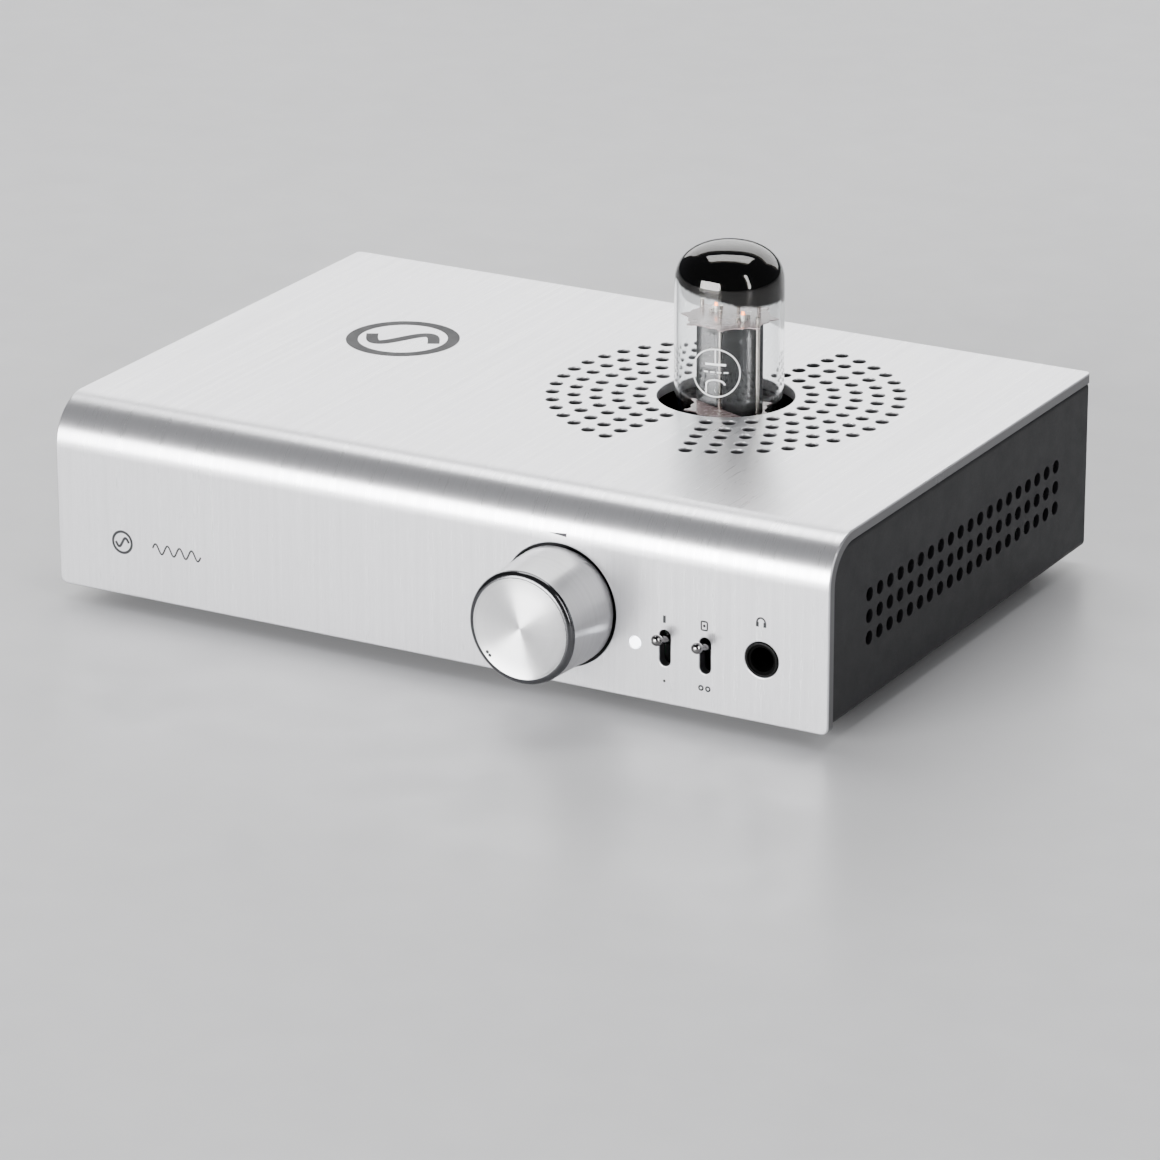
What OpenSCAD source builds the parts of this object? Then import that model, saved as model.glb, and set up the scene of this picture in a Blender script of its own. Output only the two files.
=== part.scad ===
// Tube headphone amplifier: a bent aluminium cover over a folded steel tray, with a twin triode
// standing in an octal socket, a volume knob, two toggle switches and a rear connector panel.
// Millimetres. The pieces are drawn in the case frame: X across, Y from the front face backwards,
// Z up from the cover's lower front edge. place() moves them so that the origin is on the table
// under the middle of the whole object.

/* [Case] */
// Width of the bent cover
case_w = 228.6; // [222:0.2:240]
// Depth of the cover from its front face to its rear edge
case_d = 153.6; // [152:0.2:160]
// Height of the cover from its lower front edge to its top face
case_h = 50.8; // [50:0.1:54]
// Thickness of the cover plate
plate_t = 3; // [2.6:0.1:3.2]
// Outside radius of the bend between front and top
bend_r = 13; // [11:0.5:14]
// Thickness of the folded steel sheet
sheet_t = 1.2; // [1:0.1:1.4]
// Gap between the cover's lower edge and the table
foot_gap = 3.8; // [3:0.1:8]

/* [Vents] */
// Diameter of one vent hole
vent_d = 3.7; // [3:0.1:4]
// Number of vent rings round the tube
vent_rings = 5; // [3:1:5]
// Radius of the innermost vent ring
vent_ring_r = 22.85; // [22:0.05:24]
// Distance from one vent ring to the next
vent_ring_step = 5.75; // [5:0.05:6]
// Half of the angle that each vent fan covers
vent_fan = 75.2; // [60:0.1:76]
// Number of columns of side vents
side_columns = 20; // [10:1:20]
// Number of rows of side vents
side_rows = 3; // [1:1:4]
// Distance between side vents
side_pitch = 5.8; // [5:0.1:6]

/* [Tube] */
// Distance of the tube's axis from the middle of the case
tube_x = 38.1; // [34:0.1:42]
// Distance of the tube's axis behind the front face
tube_y = 89.5; // [86:0.1:92]
// Diameter of the hole that the tube stands in
tube_hole_d = 36.5; // [35:0.1:40]
// Outside diameter of the glass bulb
bulb_d = 29; // [28:0.1:30]
// Height of the bulb's tip above the cover's lower edge
bulb_top = 92.7; // [88:0.1:96]
// Turn of the electrodes about the tube's axis
tube_turn = -21; // [-45:1:45]

/* [Front controls] */
// Distance of the knob's axis from the middle of the case
knob_x = 38; // [36:0.1:40]
// Height of the knob's axis
knob_z = 21.1; // [21:0.1:24]
// Diameter of the knob
knob_d = 30; // [26:0.1:31]
// Distance that the knob stands out of the front face
knob_l = 20; // [19:0.1:24]
// Clock position of the knob's dimple, anticlockwise from the top
knob_turn = 132; // [0:1:150]
// Distances of the two toggle levers from the middle of the case
gain_x = 68.4; // [66:0.1:69]
input_x = 79.8; // [79:0.1:82]
// Height of the levers' pivots and of the lamp
lever_z = 15; // [14.5:0.1:16]
// Tilt of a lever from level
lever_tilt = 13; // [10:1:14]
// Distance of the headphone jack from the middle of the case
jack_x = 95.7; // [95:0.1:97]
// Height of the headphone jack
jack_z = 16.9; // [16.5:0.1:17.5]

/* [Rear connectors] */
// Distance of the first phono socket from the middle of the case
phono_x = 8; // [6:0.5:10]
// Distance from one phono socket to the next
phono_pitch = 14; // [14:0.1:15]
// Distance that a phono socket stands out of the rear panel
phono_l = 9.5; // [9:0.1:10]
// Distance of the mains inlet from the middle of the case
inlet_x = -84; // [-86:0.5:-82]
// Distance of the power switch from the middle of the case
rocker_x = -46; // [-48:0.5:-44]

/* [Hidden] */
$fn = 48;
EPS = 0.01;
slide_gap = 0.05;                       // radial play of a turning or sliding fit
inner_h = case_h - plate_t;             // underside of the cover's top
tray_w = case_w - 2;                    // outside width of the steel tray
tray_z = 0.9;                           // underside of the tray
floor_z = tray_z + sheet_t;             // upper face of the tray's floor
tray_y = plate_t + 0.2;                 // front of the tray, just behind the cover's plate
rear_y = case_d + 0.6;                  // outer face of the rear panel
wall_y = tray_y + sheet_t;              // inner face of the tray's front wall
panel_y = rear_y - sheet_t;             // inner face of the rear panel
mid_y = (rear_y + phono_l - knob_l) / 2; // middle of the whole object, front to back
standoff_h = 4;
board_z = floor_z + standoff_h;
board_t = 1.6;
parts_z = board_z + board_t;            // upper face of the circuit board
seat_z = 23;                            // where the tube's base rests on its socket
base_h = 17;                            // height of the tube's base shell
base_r = 15.8;
bulb_r = bulb_d / 2;
bulb_wall = 1;
dome_h = 11.2;
pin_r = 1.18;
pin_l = 11;
pin_ring = 8.73;                        // radius of the circle of octal pins
mica_low = 47.4;
mica_high = 72.4;
mica_t = 0.3;
triode_x = 5.35;                        // distance of each triode from the tube's axis
anode_w = 9.4;
anode_d = 6.8;
end_post_x = 11.05;                     // distance of the posts beyond the anodes' outer ends
mid_post_y = 3.2;                       // distance of the posts between the anodes
grid_y = 1.9;                           // distance of the grids' rods from the cathodes
socket_off = [0.65, 0.37];              // how far the socket sits from the middle of its hole
grub_y = -10;                           // where the knob's grub screw sits
lever_y = 11;                           // pivot of the toggle levers behind the front face
lever_l = 15.6;                          // pivot to the middle of a lever's round knob
lever_knob_r = 1.5;
slot_w = 3.2;
slot_h = 9.7;
nose_r = 4.55;                          // outside radius of the headphone jack's nose
jack_r = 3.25;
lamp_r = 1.45;
knob_hole_r = 16.4;
phono_z = 22;
phono_r = 4.15;
inlet_z = 23;
rocker_z = 23;
rocker_y = rear_y - 3;                  // pivot of the power rocker
rocker_tilt = 9;
toroid_x = -66;
toroid_y = 52;
toroid_r = 39;
toroid_hole_r = 14;
toroid_h = 33;
board_holes = [[-98, 108], [-63, 140], [-20, 13], [98, 38], [100, 142], [-28, 142], [6, 108]];
cap_spots = [[-12, 30], [-12, 51], [-12, 72], [-12, 93]];
film_spots = [[62, 62], [62, 76], [14, 62], [14, 76]];
relay_spots = [[16, 122], [40, 122]];
transistor_spots = [52, 72, 92, 112];
foot_spots = [[-98, 18], [98, 18], [-98, 138], [98, 138]];
stud_spots = [-104, 104];
rail_screws = [-88, 0, 88];
card_screws = [68.5, 105.5];

// ---- shared shapes ----

// Moves a piece from the case frame to the object's own frame.
module place() {
    translate([0, -mid_y, foot_gap]) children();
}

// A cylinder along Y from y0 to y1, at x and z.
module rod_y(r, y0, y1, x = 0, z = 0, fn = 48) {
    translate([x, y0, z]) rotate([-90, 0, 0]) cylinder(r = r, h = y1 - y0, $fn = fn);
}

// A cylinder along Z from z0 to z1, at x and y.
module rod_z(r, z0, z1, x = 0, y = 0, fn = 48) {
    translate([x, y, z0]) cylinder(r = r, h = z1 - z0, $fn = fn);
}

// A block between two corners.
module block(low, high) {
    translate(low) cube(high - low);
}

// A solid turned about the Y axis through x and z. Its outline holds radius and Y pairs.
module turned_y(outline, x, z) {
    translate([x, 0, z]) rotate([-90, 0, 0]) rotate_extrude($fn = 96) polygon(outline);
}

// An upright slot cutter along Y.
module slot_y(w, h, y0, y1, x, z) {
    for (s = [-1, 1]) rod_y(w / 2, y0, y1, x, z + s * (h - w) / 2);
    block([x - w / 2, y0, z - (h - w) / 2], [x + w / 2, y1, z + (h - w) / 2]);
}

// A pan-head screw along -Y, its head outside the face at y.
module screw_y(x, y, z, r, l, head_r, head_h) {
    rod_y(r, y - l, y, x, z);
    difference() {
        rod_y(head_r, y, y + head_h, x, z);
        for (a = [0, 90])
            translate([x, y + head_h, z]) rotate([0, a, 0]) cube([head_r * 1.2, 0.9, 0.6], center = true);
    }
}

// A pan-head screw along -Z, its head on the face at z.
module screw_z(x, y, z, r, l, head_r, head_h) {
    rod_z(r, z - l, z, x, y);
    difference() {
        rod_z(head_r, z, z + head_h, x, y);
        for (a = [0, 90])
            translate([x, y, z + head_h]) rotate([0, 0, a]) cube([head_r * 1.2, 0.6, 0.9], center = true);
    }
}

// A tube of round section through a list of points, closed at both ends.
function unit(v) = v / norm(v);
function heading(p, i) = unit(p[min(i + 1, len(p) - 1)] - p[max(i - 1, 0)]);
function ring_at(c, d, r, n) =
    let (u = unit(cross(d, abs(d[2]) > 0.9 ? [1, 0, 0] : [0, 0, 1])), v = cross(d, u))
    [for (k = [0:n - 1]) c + r * (cos(360 * k / n) * u + sin(360 * k / n) * v)];
module wire(path, r, n = 8) {
    m = len(path);
    points = [for (i = [0:m - 1]) each ring_at(path[i], heading(path, i), r, n)];
    sides = [for (i = [0:m - 2]) for (k = [0:n - 1])
        [i * n + k, (i + 1) * n + k, (i + 1) * n + (k + 1) % n, i * n + (k + 1) % n]];
    ends = [[for (k = [0:n - 1]) k], [for (k = [n - 1:-1:0]) (m - 1) * n + k]];
    polyhedron(points, concat(sides, ends));
}

// A smooth run of points between two ends, with a handle at each end.
function bow(a, ha, hb, b, n = 12) =
    [for (i = [0:n]) let (t = i / n, s = 1 - t)
        s * s * s * a + 3 * s * s * t * (a + ha) + 3 * s * t * t * (b + hb) + t * t * t * b];

// ---- case ----

// A rectangle from y = 0 to y = h, centred on x, with its two lower corners rounded.
module half_rounded(w, h, r) {
    translate([-w / 2, r]) square([w, h - r]);
    translate([-w / 2 + r, 0]) square([w - 2 * r, r]);
    for (s = [-1, 1]) translate([s * (w / 2 - r), r]) circle(r);
}

// The front and the top in one bent piece.
module bent_plate() {
    translate([0, plate_t, 0]) rotate([90, 0, 0]) linear_extrude(plate_t)
        half_rounded(case_w, case_h - bend_r, 2);
    translate([0, case_d, inner_h]) mirror([0, 1, 0]) linear_extrude(plate_t)
        half_rounded(case_w, case_d - bend_r, 1.5);
    intersection() {
        translate([-case_w / 2, bend_r, case_h - bend_r]) rotate([0, 90, 0]) difference() {
            cylinder(r = bend_r, h = case_w, $fn = 96);
            translate([0, 0, -1]) cylinder(r = bend_r - plate_t, h = case_w + 2, $fn = 96);
        }
        block([-case_w, -1, case_h - bend_r], [case_w, bend_r, case_h + 1]);
    }
}

// Two fans of vent holes, on rings that each hold two holes more than the last.
module vent_fans(z0, z1) {
    for (k = [0:vent_rings - 1], side = [0, 180]) {
        half = 5 + k;
        for (i = [-half:half])
            translate([tube_x, tube_y, 0]) rotate(side + i * vent_fan / half)
                rod_z(vent_d / 2, z0, z1, vent_ring_r + k * vent_ring_step, 0, 24);
    }
}

module cover() {
    color("silver") difference() {
        bent_plate();
        vent_fans(inner_h - 1, case_h + 1);
        rod_z(tube_hole_d / 2, inner_h - 1, case_h + 1, tube_x, tube_y, 96);
        rod_y(knob_hole_r, -1, plate_t + 1, knob_x, knob_z, 96);
        rod_y(lamp_r + 0.15, -1, plate_t + 1, lamp_x(), lever_z);
        slot_y(slot_w, slot_h, -1, plate_t + 1, gain_x, lever_z);
        slot_y(slot_w, slot_h, -1, plate_t + 1, input_x, lever_z);
        rod_y(nose_r + 0.15, -1, plate_t + 1, jack_x, jack_z, 64);
    }
}

function lamp_x() = gain_x - 8.5;

module cover_studs() {
    color("silver") for (x = stud_spots) rod_y(1.5, plate_t, plate_t + 9, x, 30);
}

module cover_stud_nuts() {
    color("silver") for (x = stud_spots) difference() {
        rod_y(3.1, wall_y, wall_y + 2.4, x, 30, 6);
        rod_y(1.5 + slide_gap, wall_y - 1, wall_y + 4, x, 30);
    }
}

module rear_rail() {
    color("silver") difference() {
        block([-98, panel_y - 8, inner_h - 7.5], [98, panel_y, inner_h]);
        for (x = rail_screws) rod_y(1.5 + slide_gap, panel_y - 9, panel_y + 1, x, inner_h - 3.8);
    }
}

module panel_screws() {
    color("dimgray") {
        for (x = rail_screws) screw_y(x, rear_y, inner_h - 3.8, 1.5, 7, 2.7, 1.6);
        for (s = [-20, 20]) screw_y(inlet_x + s, rear_y + 2.6, inlet_z, 1.5, 8, 2.7, 1.5);
        for (x = card_screws) screw_y(x, rear_y + 1.2, 22, 1.5, 6, 2.9, 1.6);
    }
}

// Outline of the tray across the case: floor, two sides and the flanges on top of them.
module tray_section(w, h, r) {
    translate([-w / 2 + r, 0]) square([w - 2 * r, h]);
    translate([-w / 2, r]) square([w, h - 2 * r]);
    for (x = [-w / 2 + r, w / 2 - r], z = [r, h - r]) translate([x, z]) circle(r);
}

module side_vents() {
    for (i = [0:side_columns - 1], k = [0:side_rows - 1])
        translate([-case_w, 24.3 + i * side_pitch, 18 + k * side_pitch]) rotate([0, 90, 0])
            cylinder(r = vent_d / 2, h = 2 * case_w, $fn = 24);
}

module chassis_tray() {
    tray_h = inner_h - tray_z;
    color("dimgray") difference() {
        union() {
            translate([0, rear_y, tray_z]) rotate([90, 0, 0]) linear_extrude(rear_y - tray_y)
                difference() {
                    tray_section(tray_w, tray_h, 1.8);
                    translate([0, sheet_t]) tray_section(tray_w - 2 * sheet_t, tray_h - 2 * sheet_t, 0.6);
                    translate([-tray_w / 2 + 11, tray_h / 2]) square([tray_w - 22, tray_h]);
                }
            block([-tray_w / 2 + sheet_t - EPS, tray_y, floor_z - EPS], [tray_w / 2 - sheet_t + EPS, wall_y, 37]);
        }
        // the front upper corner of each side follows the inside of the bend
        difference() {
            block([-case_w, tray_y - 1, case_h - bend_r], [case_w, bend_r, case_h]);
            translate([0, bend_r, case_h - bend_r]) rotate([0, 90, 0])
                cylinder(r = bend_r - plate_t - 0.2, h = 3 * case_w, center = true, $fn = 96);
        }
        // the flanges start behind the bend
        block([-tray_w / 2 + sheet_t, wall_y, 40], [tray_w / 2 - sheet_t, bend_r + 2, case_h]);
        side_vents();
        rod_y(4.7, tray_y - 1, wall_y + 1, knob_x, knob_z);
        rod_y(2, tray_y - 1, wall_y + 1, lamp_x(), lever_z);
        slot_y(4.4, 10.6, tray_y - 1, wall_y + 1, gain_x, lever_z);
        slot_y(4.4, 10.6, tray_y - 1, wall_y + 1, input_x, lever_z);
        rod_y(nose_r + 0.15, tray_y - 1, wall_y + 1, jack_x, jack_z);
        for (x = stud_spots) rod_y(1.7, tray_y - 1, wall_y + 1, x, 30);
        for (i = [0:8], k = [0:5])
            rod_z(vent_d / 2, 0, floor_z + 1, tube_x - 24 + i * 6, tube_y - 15 + k * 6, 24);
        for (p = board_holes) rod_z(1.7, 0, floor_z + 1, p[0], p[1]);
        rod_z(2.7, 0, floor_z + 1, toroid_x, toroid_y);
    }
}

module rear_panel() {
    half = tray_w / 2 - sheet_t - 0.2;
    color("dimgray") difference() {
        union() {
            block([-half, panel_y, floor_z + 0.4], [half, rear_y, inner_h - sheet_t - 0.4]);
            block([-98, panel_y, inner_h - sheet_t - 0.5], [98, rear_y, inner_h - 0.1]);
            block([1 - half, panel_y - 8, floor_z + 0.02], [half - 1, panel_y + EPS, floor_z + sheet_t]);
        }
        for (x = rail_screws) rod_y(1.65, panel_y - 1, rear_y + 1, x, inner_h - 3.8);
        for (i = [0:3]) rod_y(phono_r + 0.25, panel_y - 1, rear_y + 1, phono_x + i * phono_pitch, phono_z);
        block([inlet_x - 14, panel_y - 1, inlet_z - 15.8], [inlet_x + 14, rear_y + 1, inlet_z + 12.2]);
        for (s = [-20, 20]) rod_y(1.7, panel_y - 1, rear_y + 1, inlet_x + s, inlet_z);
        block([rocker_x - 9.7, panel_y - 1, rocker_z - 6.6], [rocker_x + 9.7, rear_y + 1, rocker_z + 6.6]);
        block([72, panel_y - 1, 12], [102, rear_y + 1, 32]);
        for (x = card_screws) rod_y(1.6, panel_y - 1, rear_y + 1, x, 22);
        for (p = board_holes) rod_z(3.4, 0, floor_z + 3, p[0], p[1]);
    }
}

module feet() {
    foot_h = foot_gap + tray_z;
    color([0.12, 0.12, 0.12]) for (p = foot_spots) translate([p[0], p[1], tray_z - foot_h])
        rotate_extrude($fn = 64)
            polygon([[0, 0], [4.6, 0], [5.2, 0.25], [5.7, 0.8], [6.5, foot_h - 0.3], [6.5, foot_h], [0, foot_h]]);
}

// ---- circuit board ----

module main_board() {
    color("darkgreen") difference() {
        translate([0, 0, board_z]) linear_extrude(board_t)
            polygon([[-107, 99], [-107, 150.5], [107, 150.5], [107, 7], [-24, 7], [-24, 99]]);
        for (p = board_holes) rod_z(1.7, board_z - 1, parts_z + 1, p[0], p[1]);
        tube_place() rod_z(4.6, board_z - 1, parts_z + 1);
    }
}

module board_standoffs() {
    color("silver") for (p = board_holes) difference() {
        rod_z(2.9, floor_z, board_z, p[0], p[1], 6);
        rod_z(1.5 + slide_gap, floor_z - 1, board_z + 1, p[0], p[1]);
    }
}

module board_screws() {
    color("silver") for (p = board_holes) screw_z(p[0], p[1], parts_z, 1.5, board_t + 3.4, 2.7, 1.6);
}

// ---- volume control ----

module volume_knob() {
    r = knob_d / 2;
    edge = 1.5;
    arc = [for (a = [0:15:90]) [r - edge + edge * cos(a), -knob_l + edge - edge * sin(a)]];
    outline = concat([[3 + slide_gap, -17], [3 + slide_gap, -6], [9.5, -6], [9.5, 1.5], [r, 1.5]],
                     arc, [[0, -knob_l], [0, -17]]);
    color("silver") difference() {
        turned_y(outline, knob_x, knob_z);
        translate([knob_x, grub_y, knob_z]) rotate([0, 180 - knob_turn, 0]) rotate([0, -90, 0])
            cylinder(r = 1.5 + slide_gap, h = r + 1);
        translate([knob_x, -knob_l, knob_z]) rotate([0, -knob_turn, 0]) translate([0, 0, 12.2])
            sphere(r = 0.7, $fn = 32);
    }
}

module knob_grub_screw() {
    color("dimgray") translate([knob_x, grub_y, knob_z]) rotate([0, 180 - knob_turn, 0]) rotate([0, -90, 0])
        translate([0, 0, 3.1]) difference() {
            cylinder(r = 1.5, h = 5);
            translate([0, 0, 3]) cylinder(r = 0.87, h = 3, $fn = 6);
        }
}

module pot_shaft() {
    color("silver") rod_y(3, -16.8, 26, knob_x, knob_z);
}

module pot_rotor() {
    color("goldenrod") for (y = [12, 20]) difference() {
        union() {
            rod_y(8.5, y, y + 1.2, knob_x, knob_z);
            for (a = [0, 20]) translate([knob_x, y - 1, knob_z]) rotate([0, a, 0]) cube([9, 1, 0.8]);
        }
        rod_y(3 + slide_gap, y - 3, y + 3, knob_x, knob_z);
    }
}

module pot_case() {
    color("steelblue") difference() {
        union() {
            block([knob_x - 13.5, wall_y + 0.6, parts_z], [knob_x + 13.5, wall_y + 23.6, knob_z + 12.9]);
            rod_y(4.5, -3.5, wall_y + 1, knob_x, knob_z);
        }
        rod_y(3 + slide_gap, -5, 40, knob_x, knob_z);
        rod_y(10, 8, 14.2, knob_x, knob_z);
        rod_y(10, 16, 22.2, knob_x, knob_z);
    }
    color("silver") for (s = [-1:1], y = [12, 20])
        rod_z(0.5, board_z - 1.2, board_z - EPS, knob_x + s * 5, y, 16);
}

module pot_nut() {
    color("silver") difference() {
        union() {
            rod_y(7, tray_y - 2.2, tray_y - 0.4, knob_x, knob_z, 6);
            rod_y(7.6, tray_y - 0.4, tray_y, knob_x, knob_z);
        }
        rod_y(4.5 + slide_gap, -2, tray_y + 1, knob_x, knob_z);
    }
}

// ---- toggle switches ----

// A miniature toggle on the board: a box with a round collar that the lever comes out of.
module toggle_body(x) {
    color([0.15, 0.15, 0.17]) difference() {
        union() {
            block([x - 4, lever_y - 3, parts_z], [x + 4, lever_y + 9, lever_z + 6]);
            rod_y(3.2, lever_y - 4.6, lever_y - 2.9, x, lever_z);
        }
        // a chamber for the pivot and the lever's tail, with a flared mouth in front
        block([x - 2.5, lever_y - 2.4, lever_z - 2.7], [x + 2.5, lever_y + 6, lever_z + 2.7]);
        translate([x, lever_y, lever_z]) rotate([90, 0, 0]) cylinder(r1 = 1.5, r2 = 2.7, h = 5);
        translate([x, lever_y, lever_z]) rotate([0, 90, 0]) cylinder(r = 0.6, h = 7, center = true, $fn = 24);
    }
    color("gold") for (y = [lever_y - 1, lever_y + 2.5, lever_y + 6])
        rod_z(0.45, board_z - 1.2, board_z - EPS, x, y, 16);
}

// The lever: a pivot ball with its pin, a stem that widens at the slot and tapers to a round
// knob in front, and a short tail behind.
module toggle_lever(x) {
    color("gainsboro") translate([x, lever_y, lever_z]) rotate([-lever_tilt, 0, 0]) {
        rotate([90, 0, 0]) rotate_extrude($fn = 48)
            polygon(concat([[0, 0], [1.0, 0], [1.0, 6], [1.12, 7.2], [1.3, 8.6], [1.35, 10], [1.3, 11.2], [1.15, 12.4], [1.0, 13.3]],
                           [for (a = [-48:12:84]) [lever_knob_r * cos(a), lever_l + lever_knob_r * sin(a)]],
                           [[0, lever_l + lever_knob_r]]));
        sphere(r = 2.2, $fn = 48);
        rod_y(0.8, 0, 4.6);
        rotate([0, 90, 0]) cylinder(r = 0.55, h = 6.6, center = true, $fn = 24);
    }
}

module gain_switch_body() { toggle_body(gain_x); }
module gain_lever() { toggle_lever(gain_x); }
module input_switch_body() { toggle_body(input_x); }
module input_lever() { toggle_lever(input_x); }

module status_lamp() {
    x = lamp_x();
    color("white") {
        rod_y(lamp_r, -0.1, 8, x, lever_z);
        rod_y(1.9, 8 - EPS, 9, x, lever_z);
    }
    color("silver") for (s = [-1, 1]) {
        rod_z(0.25, parts_z + EPS, lever_z - 2.2, x + s * 1.27, 8.5, 12);
    }
}

// ---- headphone jack ----

module headphone_jack() {
    color([0.1, 0.1, 0.1]) difference() {
        union() {
            block([jack_x - 8, wall_y + 0.2, parts_z], [jack_x + 8, 34, jack_z + 7.4]);
            rod_y(nose_r, 0.3, wall_y + 1, jack_x, jack_z, 64);
        }
        rod_y(jack_r, -1, 33, jack_x, jack_z);
        // pockets for the three contact leaves
        for (p = [12, 20, 28]) block([jack_x - 6, p - 2, jack_z - 6], [jack_x + 6, p + 2, jack_z + 6]);
    }
}

// Spring leaves that lie just clear of the plug's way and end in pins through the board.
module jack_contacts() {
    color("gold") for (p = [[12, -1], [20, 1], [28, -1]]) {
        x = jack_x + p[1] * 4;
        block([x - 0.25, p[0] - 1.6, jack_z - 4.5], [x + 0.25, p[0] + 1.6, jack_z + 4.5]);
        rod_z(0.5, board_z - 1.2, board_z - EPS, x, p[0], 16);
    }
}

// ---- mains inlet with fuse drawer, and power switch ----

// Outline of the inlet's cavity: a rectangle with two corners cut off.
module inlet_shape(w, h, cut) {
    polygon([[-w / 2, -h / 2], [w / 2, -h / 2], [w / 2, h / 2 - cut], [w / 2 - cut, h / 2],
             [-w / 2 + cut, h / 2], [-w / 2, h / 2 - cut]]);
}

module mains_inlet() {
    color([0.1, 0.1, 0.1]) difference() {
        union() {
            block([inlet_x - 24, rear_y, inlet_z - 17.5], [inlet_x + 24, rear_y + 2.6, inlet_z + 14]);
            block([inlet_x - 13.8, rear_y - 20, inlet_z - 15.25], [inlet_x + 13.8, rear_y + EPS, inlet_z + 12]);
        }
        translate([inlet_x, rear_y + 4, inlet_z + 2]) rotate([90, 0, 0]) linear_extrude(20) inlet_shape(24.2, 16.5, 4);
        block([inlet_x - 12.5, rear_y - 18, inlet_z - 14.6], [inlet_x + 12.5, rear_y + 4, inlet_z - 7.2]);
        for (s = [-20, 20]) rod_y(1.65, rear_y - 1, rear_y + 4, inlet_x + s, inlet_z);
    }
}

module inlet_pins() {
    y0 = rear_y - 16;
    color("silver") {
        for (s = [-7, 7]) block([inlet_x + s - 1, y0, inlet_z - 2], [inlet_x + s + 1, y0 + 14.5, inlet_z + 2]);
        block([inlet_x - 1, y0, inlet_z + 4], [inlet_x + 1, y0 + 16, inlet_z + 8]);
    }
}

module fuse_drawer() {
    color([0.13, 0.13, 0.13]) difference() {
        union() {
            block([inlet_x - 12.3, rear_y - 17.6, inlet_z - 14.4], [inlet_x + 12.3, rear_y + 2.6, inlet_z - 7.4]);
            block([inlet_x - 12.3, rear_y + 2.6 - EPS, inlet_z - 14.4], [inlet_x + 12.3, rear_y + 4, inlet_z - 7.4]);
        }
        block([inlet_x - 11.2, rear_y - 15, inlet_z - 13.6], [inlet_x + 11.2, rear_y - 2, inlet_z - 6]);
        block([inlet_x - 4, rear_y + 2.8, inlet_z - 8.4], [inlet_x + 4, rear_y + 5, inlet_z - 6]);
    }
}

// A 5 x 20 glass fuse with its two end caps, lying across the drawer.
module fuse() {
    y = rear_y - 8.5;
    z = inlet_z - 10.9;
    color("white") translate([inlet_x - 5, y, z]) rotate([0, 90, 0]) cylinder(r = 2.3, h = 10, $fn = 32);
    color("silver") for (x = [inlet_x - 10, inlet_x + 5])
        translate([x, y, z]) rotate([0, 90, 0]) cylinder(r = 2.6, h = 5, $fn = 32);
}

module power_switch_body() {
    color([0.1, 0.1, 0.1]) difference() {
        union() {
            block([rocker_x - 10.5, rear_y, rocker_z - 7.5], [rocker_x + 10.5, rear_y + 1.8, rocker_z + 7.5]);
            block([rocker_x - 9.5, rear_y - 17, rocker_z - 6.4], [rocker_x + 9.5, rear_y + EPS, rocker_z + 6.4]);
        }
        block([rocker_x - 8.5, rear_y - 9, rocker_z - 5.6], [rocker_x + 8.5, rear_y + 3, rocker_z + 5.6]);
        translate([rocker_x, rocker_y, rocker_z]) rod_z(1.2, -6.2, 6.2, 0, 0, 24);
    }
    color("silver") for (s = [-1:1])
        block([rocker_x + s * 6 - 0.4, rear_y - 23, rocker_z - 2.4], [rocker_x + s * 6 + 0.4, rear_y - 17, rocker_z + 2.4]);
}

// The rocker turns about an upright pin. Its pressed face is hollow, and its ends are round about
// the pin, so that they keep the same gap to the body as it rocks.
module power_rocker() {
    hollow_r = 16;
    color([0.16, 0.16, 0.16]) translate([rocker_x, rocker_y, rocker_z]) {
        rotate([0, 0, rocker_tilt]) intersection() {
            difference() {
                translate([-8, -4, -5.3]) cube([16, 10.2, 10.6]);
                translate([0, hollow_r + 4.6, -6]) cylinder(r = hollow_r, h = 12, $fn = 96);
            }
            cylinder(r = 8.2, h = 12, center = true, $fn = 96);
        }
        rod_z(1.15, -6.1, 6.1, 0, 0, 24);
    }
}

// ---- phono sockets and card slot ----

module phono_housings() {
    color([0.1, 0.1, 0.1]) for (i = [0, 2]) {
        x = phono_x + i * phono_pitch;
        difference() {
            block([x - 6.5, panel_y - 12, parts_z], [x + phono_pitch + 6.5, panel_y - 0.1, phono_z + 7]);
            for (k = [0, 1]) rod_y(3.5, panel_y - 11, panel_y + 1, x + k * phono_pitch, phono_z);
        }
    }
}

module phono_shells() {
    color("gold") for (i = [0:3]) difference() {
        union() {
            rod_y(phono_r, panel_y - 0.1, rear_y + phono_l, phono_x + i * phono_pitch, phono_z);
            rod_y(5.6, rear_y, rear_y + 0.8, phono_x + i * phono_pitch, phono_z);
        }
        rod_y(3.5, panel_y - 1, rear_y + phono_l + 1, phono_x + i * phono_pitch, phono_z);
    }
}

module phono_insulator(i) {
    difference() {
        rod_y(3.45, panel_y - 10, rear_y + phono_l - 0.6, phono_x + i * phono_pitch, phono_z);
        rod_y(1.95, panel_y - 11, rear_y + phono_l, phono_x + i * phono_pitch, phono_z);
    }
}

module phono_insulators_left() { color("white") for (i = [1, 3]) phono_insulator(i); }
module phono_insulators_right() { color("firebrick") for (i = [0, 2]) phono_insulator(i); }

module phono_contacts() {
    color("gold") for (i = [0:3]) difference() {
        rod_y(1.9, panel_y - 9, rear_y + phono_l - 1.4, phono_x + i * phono_pitch, phono_z);
        rod_y(1.6, panel_y - 6, rear_y + phono_l, phono_x + i * phono_pitch, phono_z);
    }
}

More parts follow.
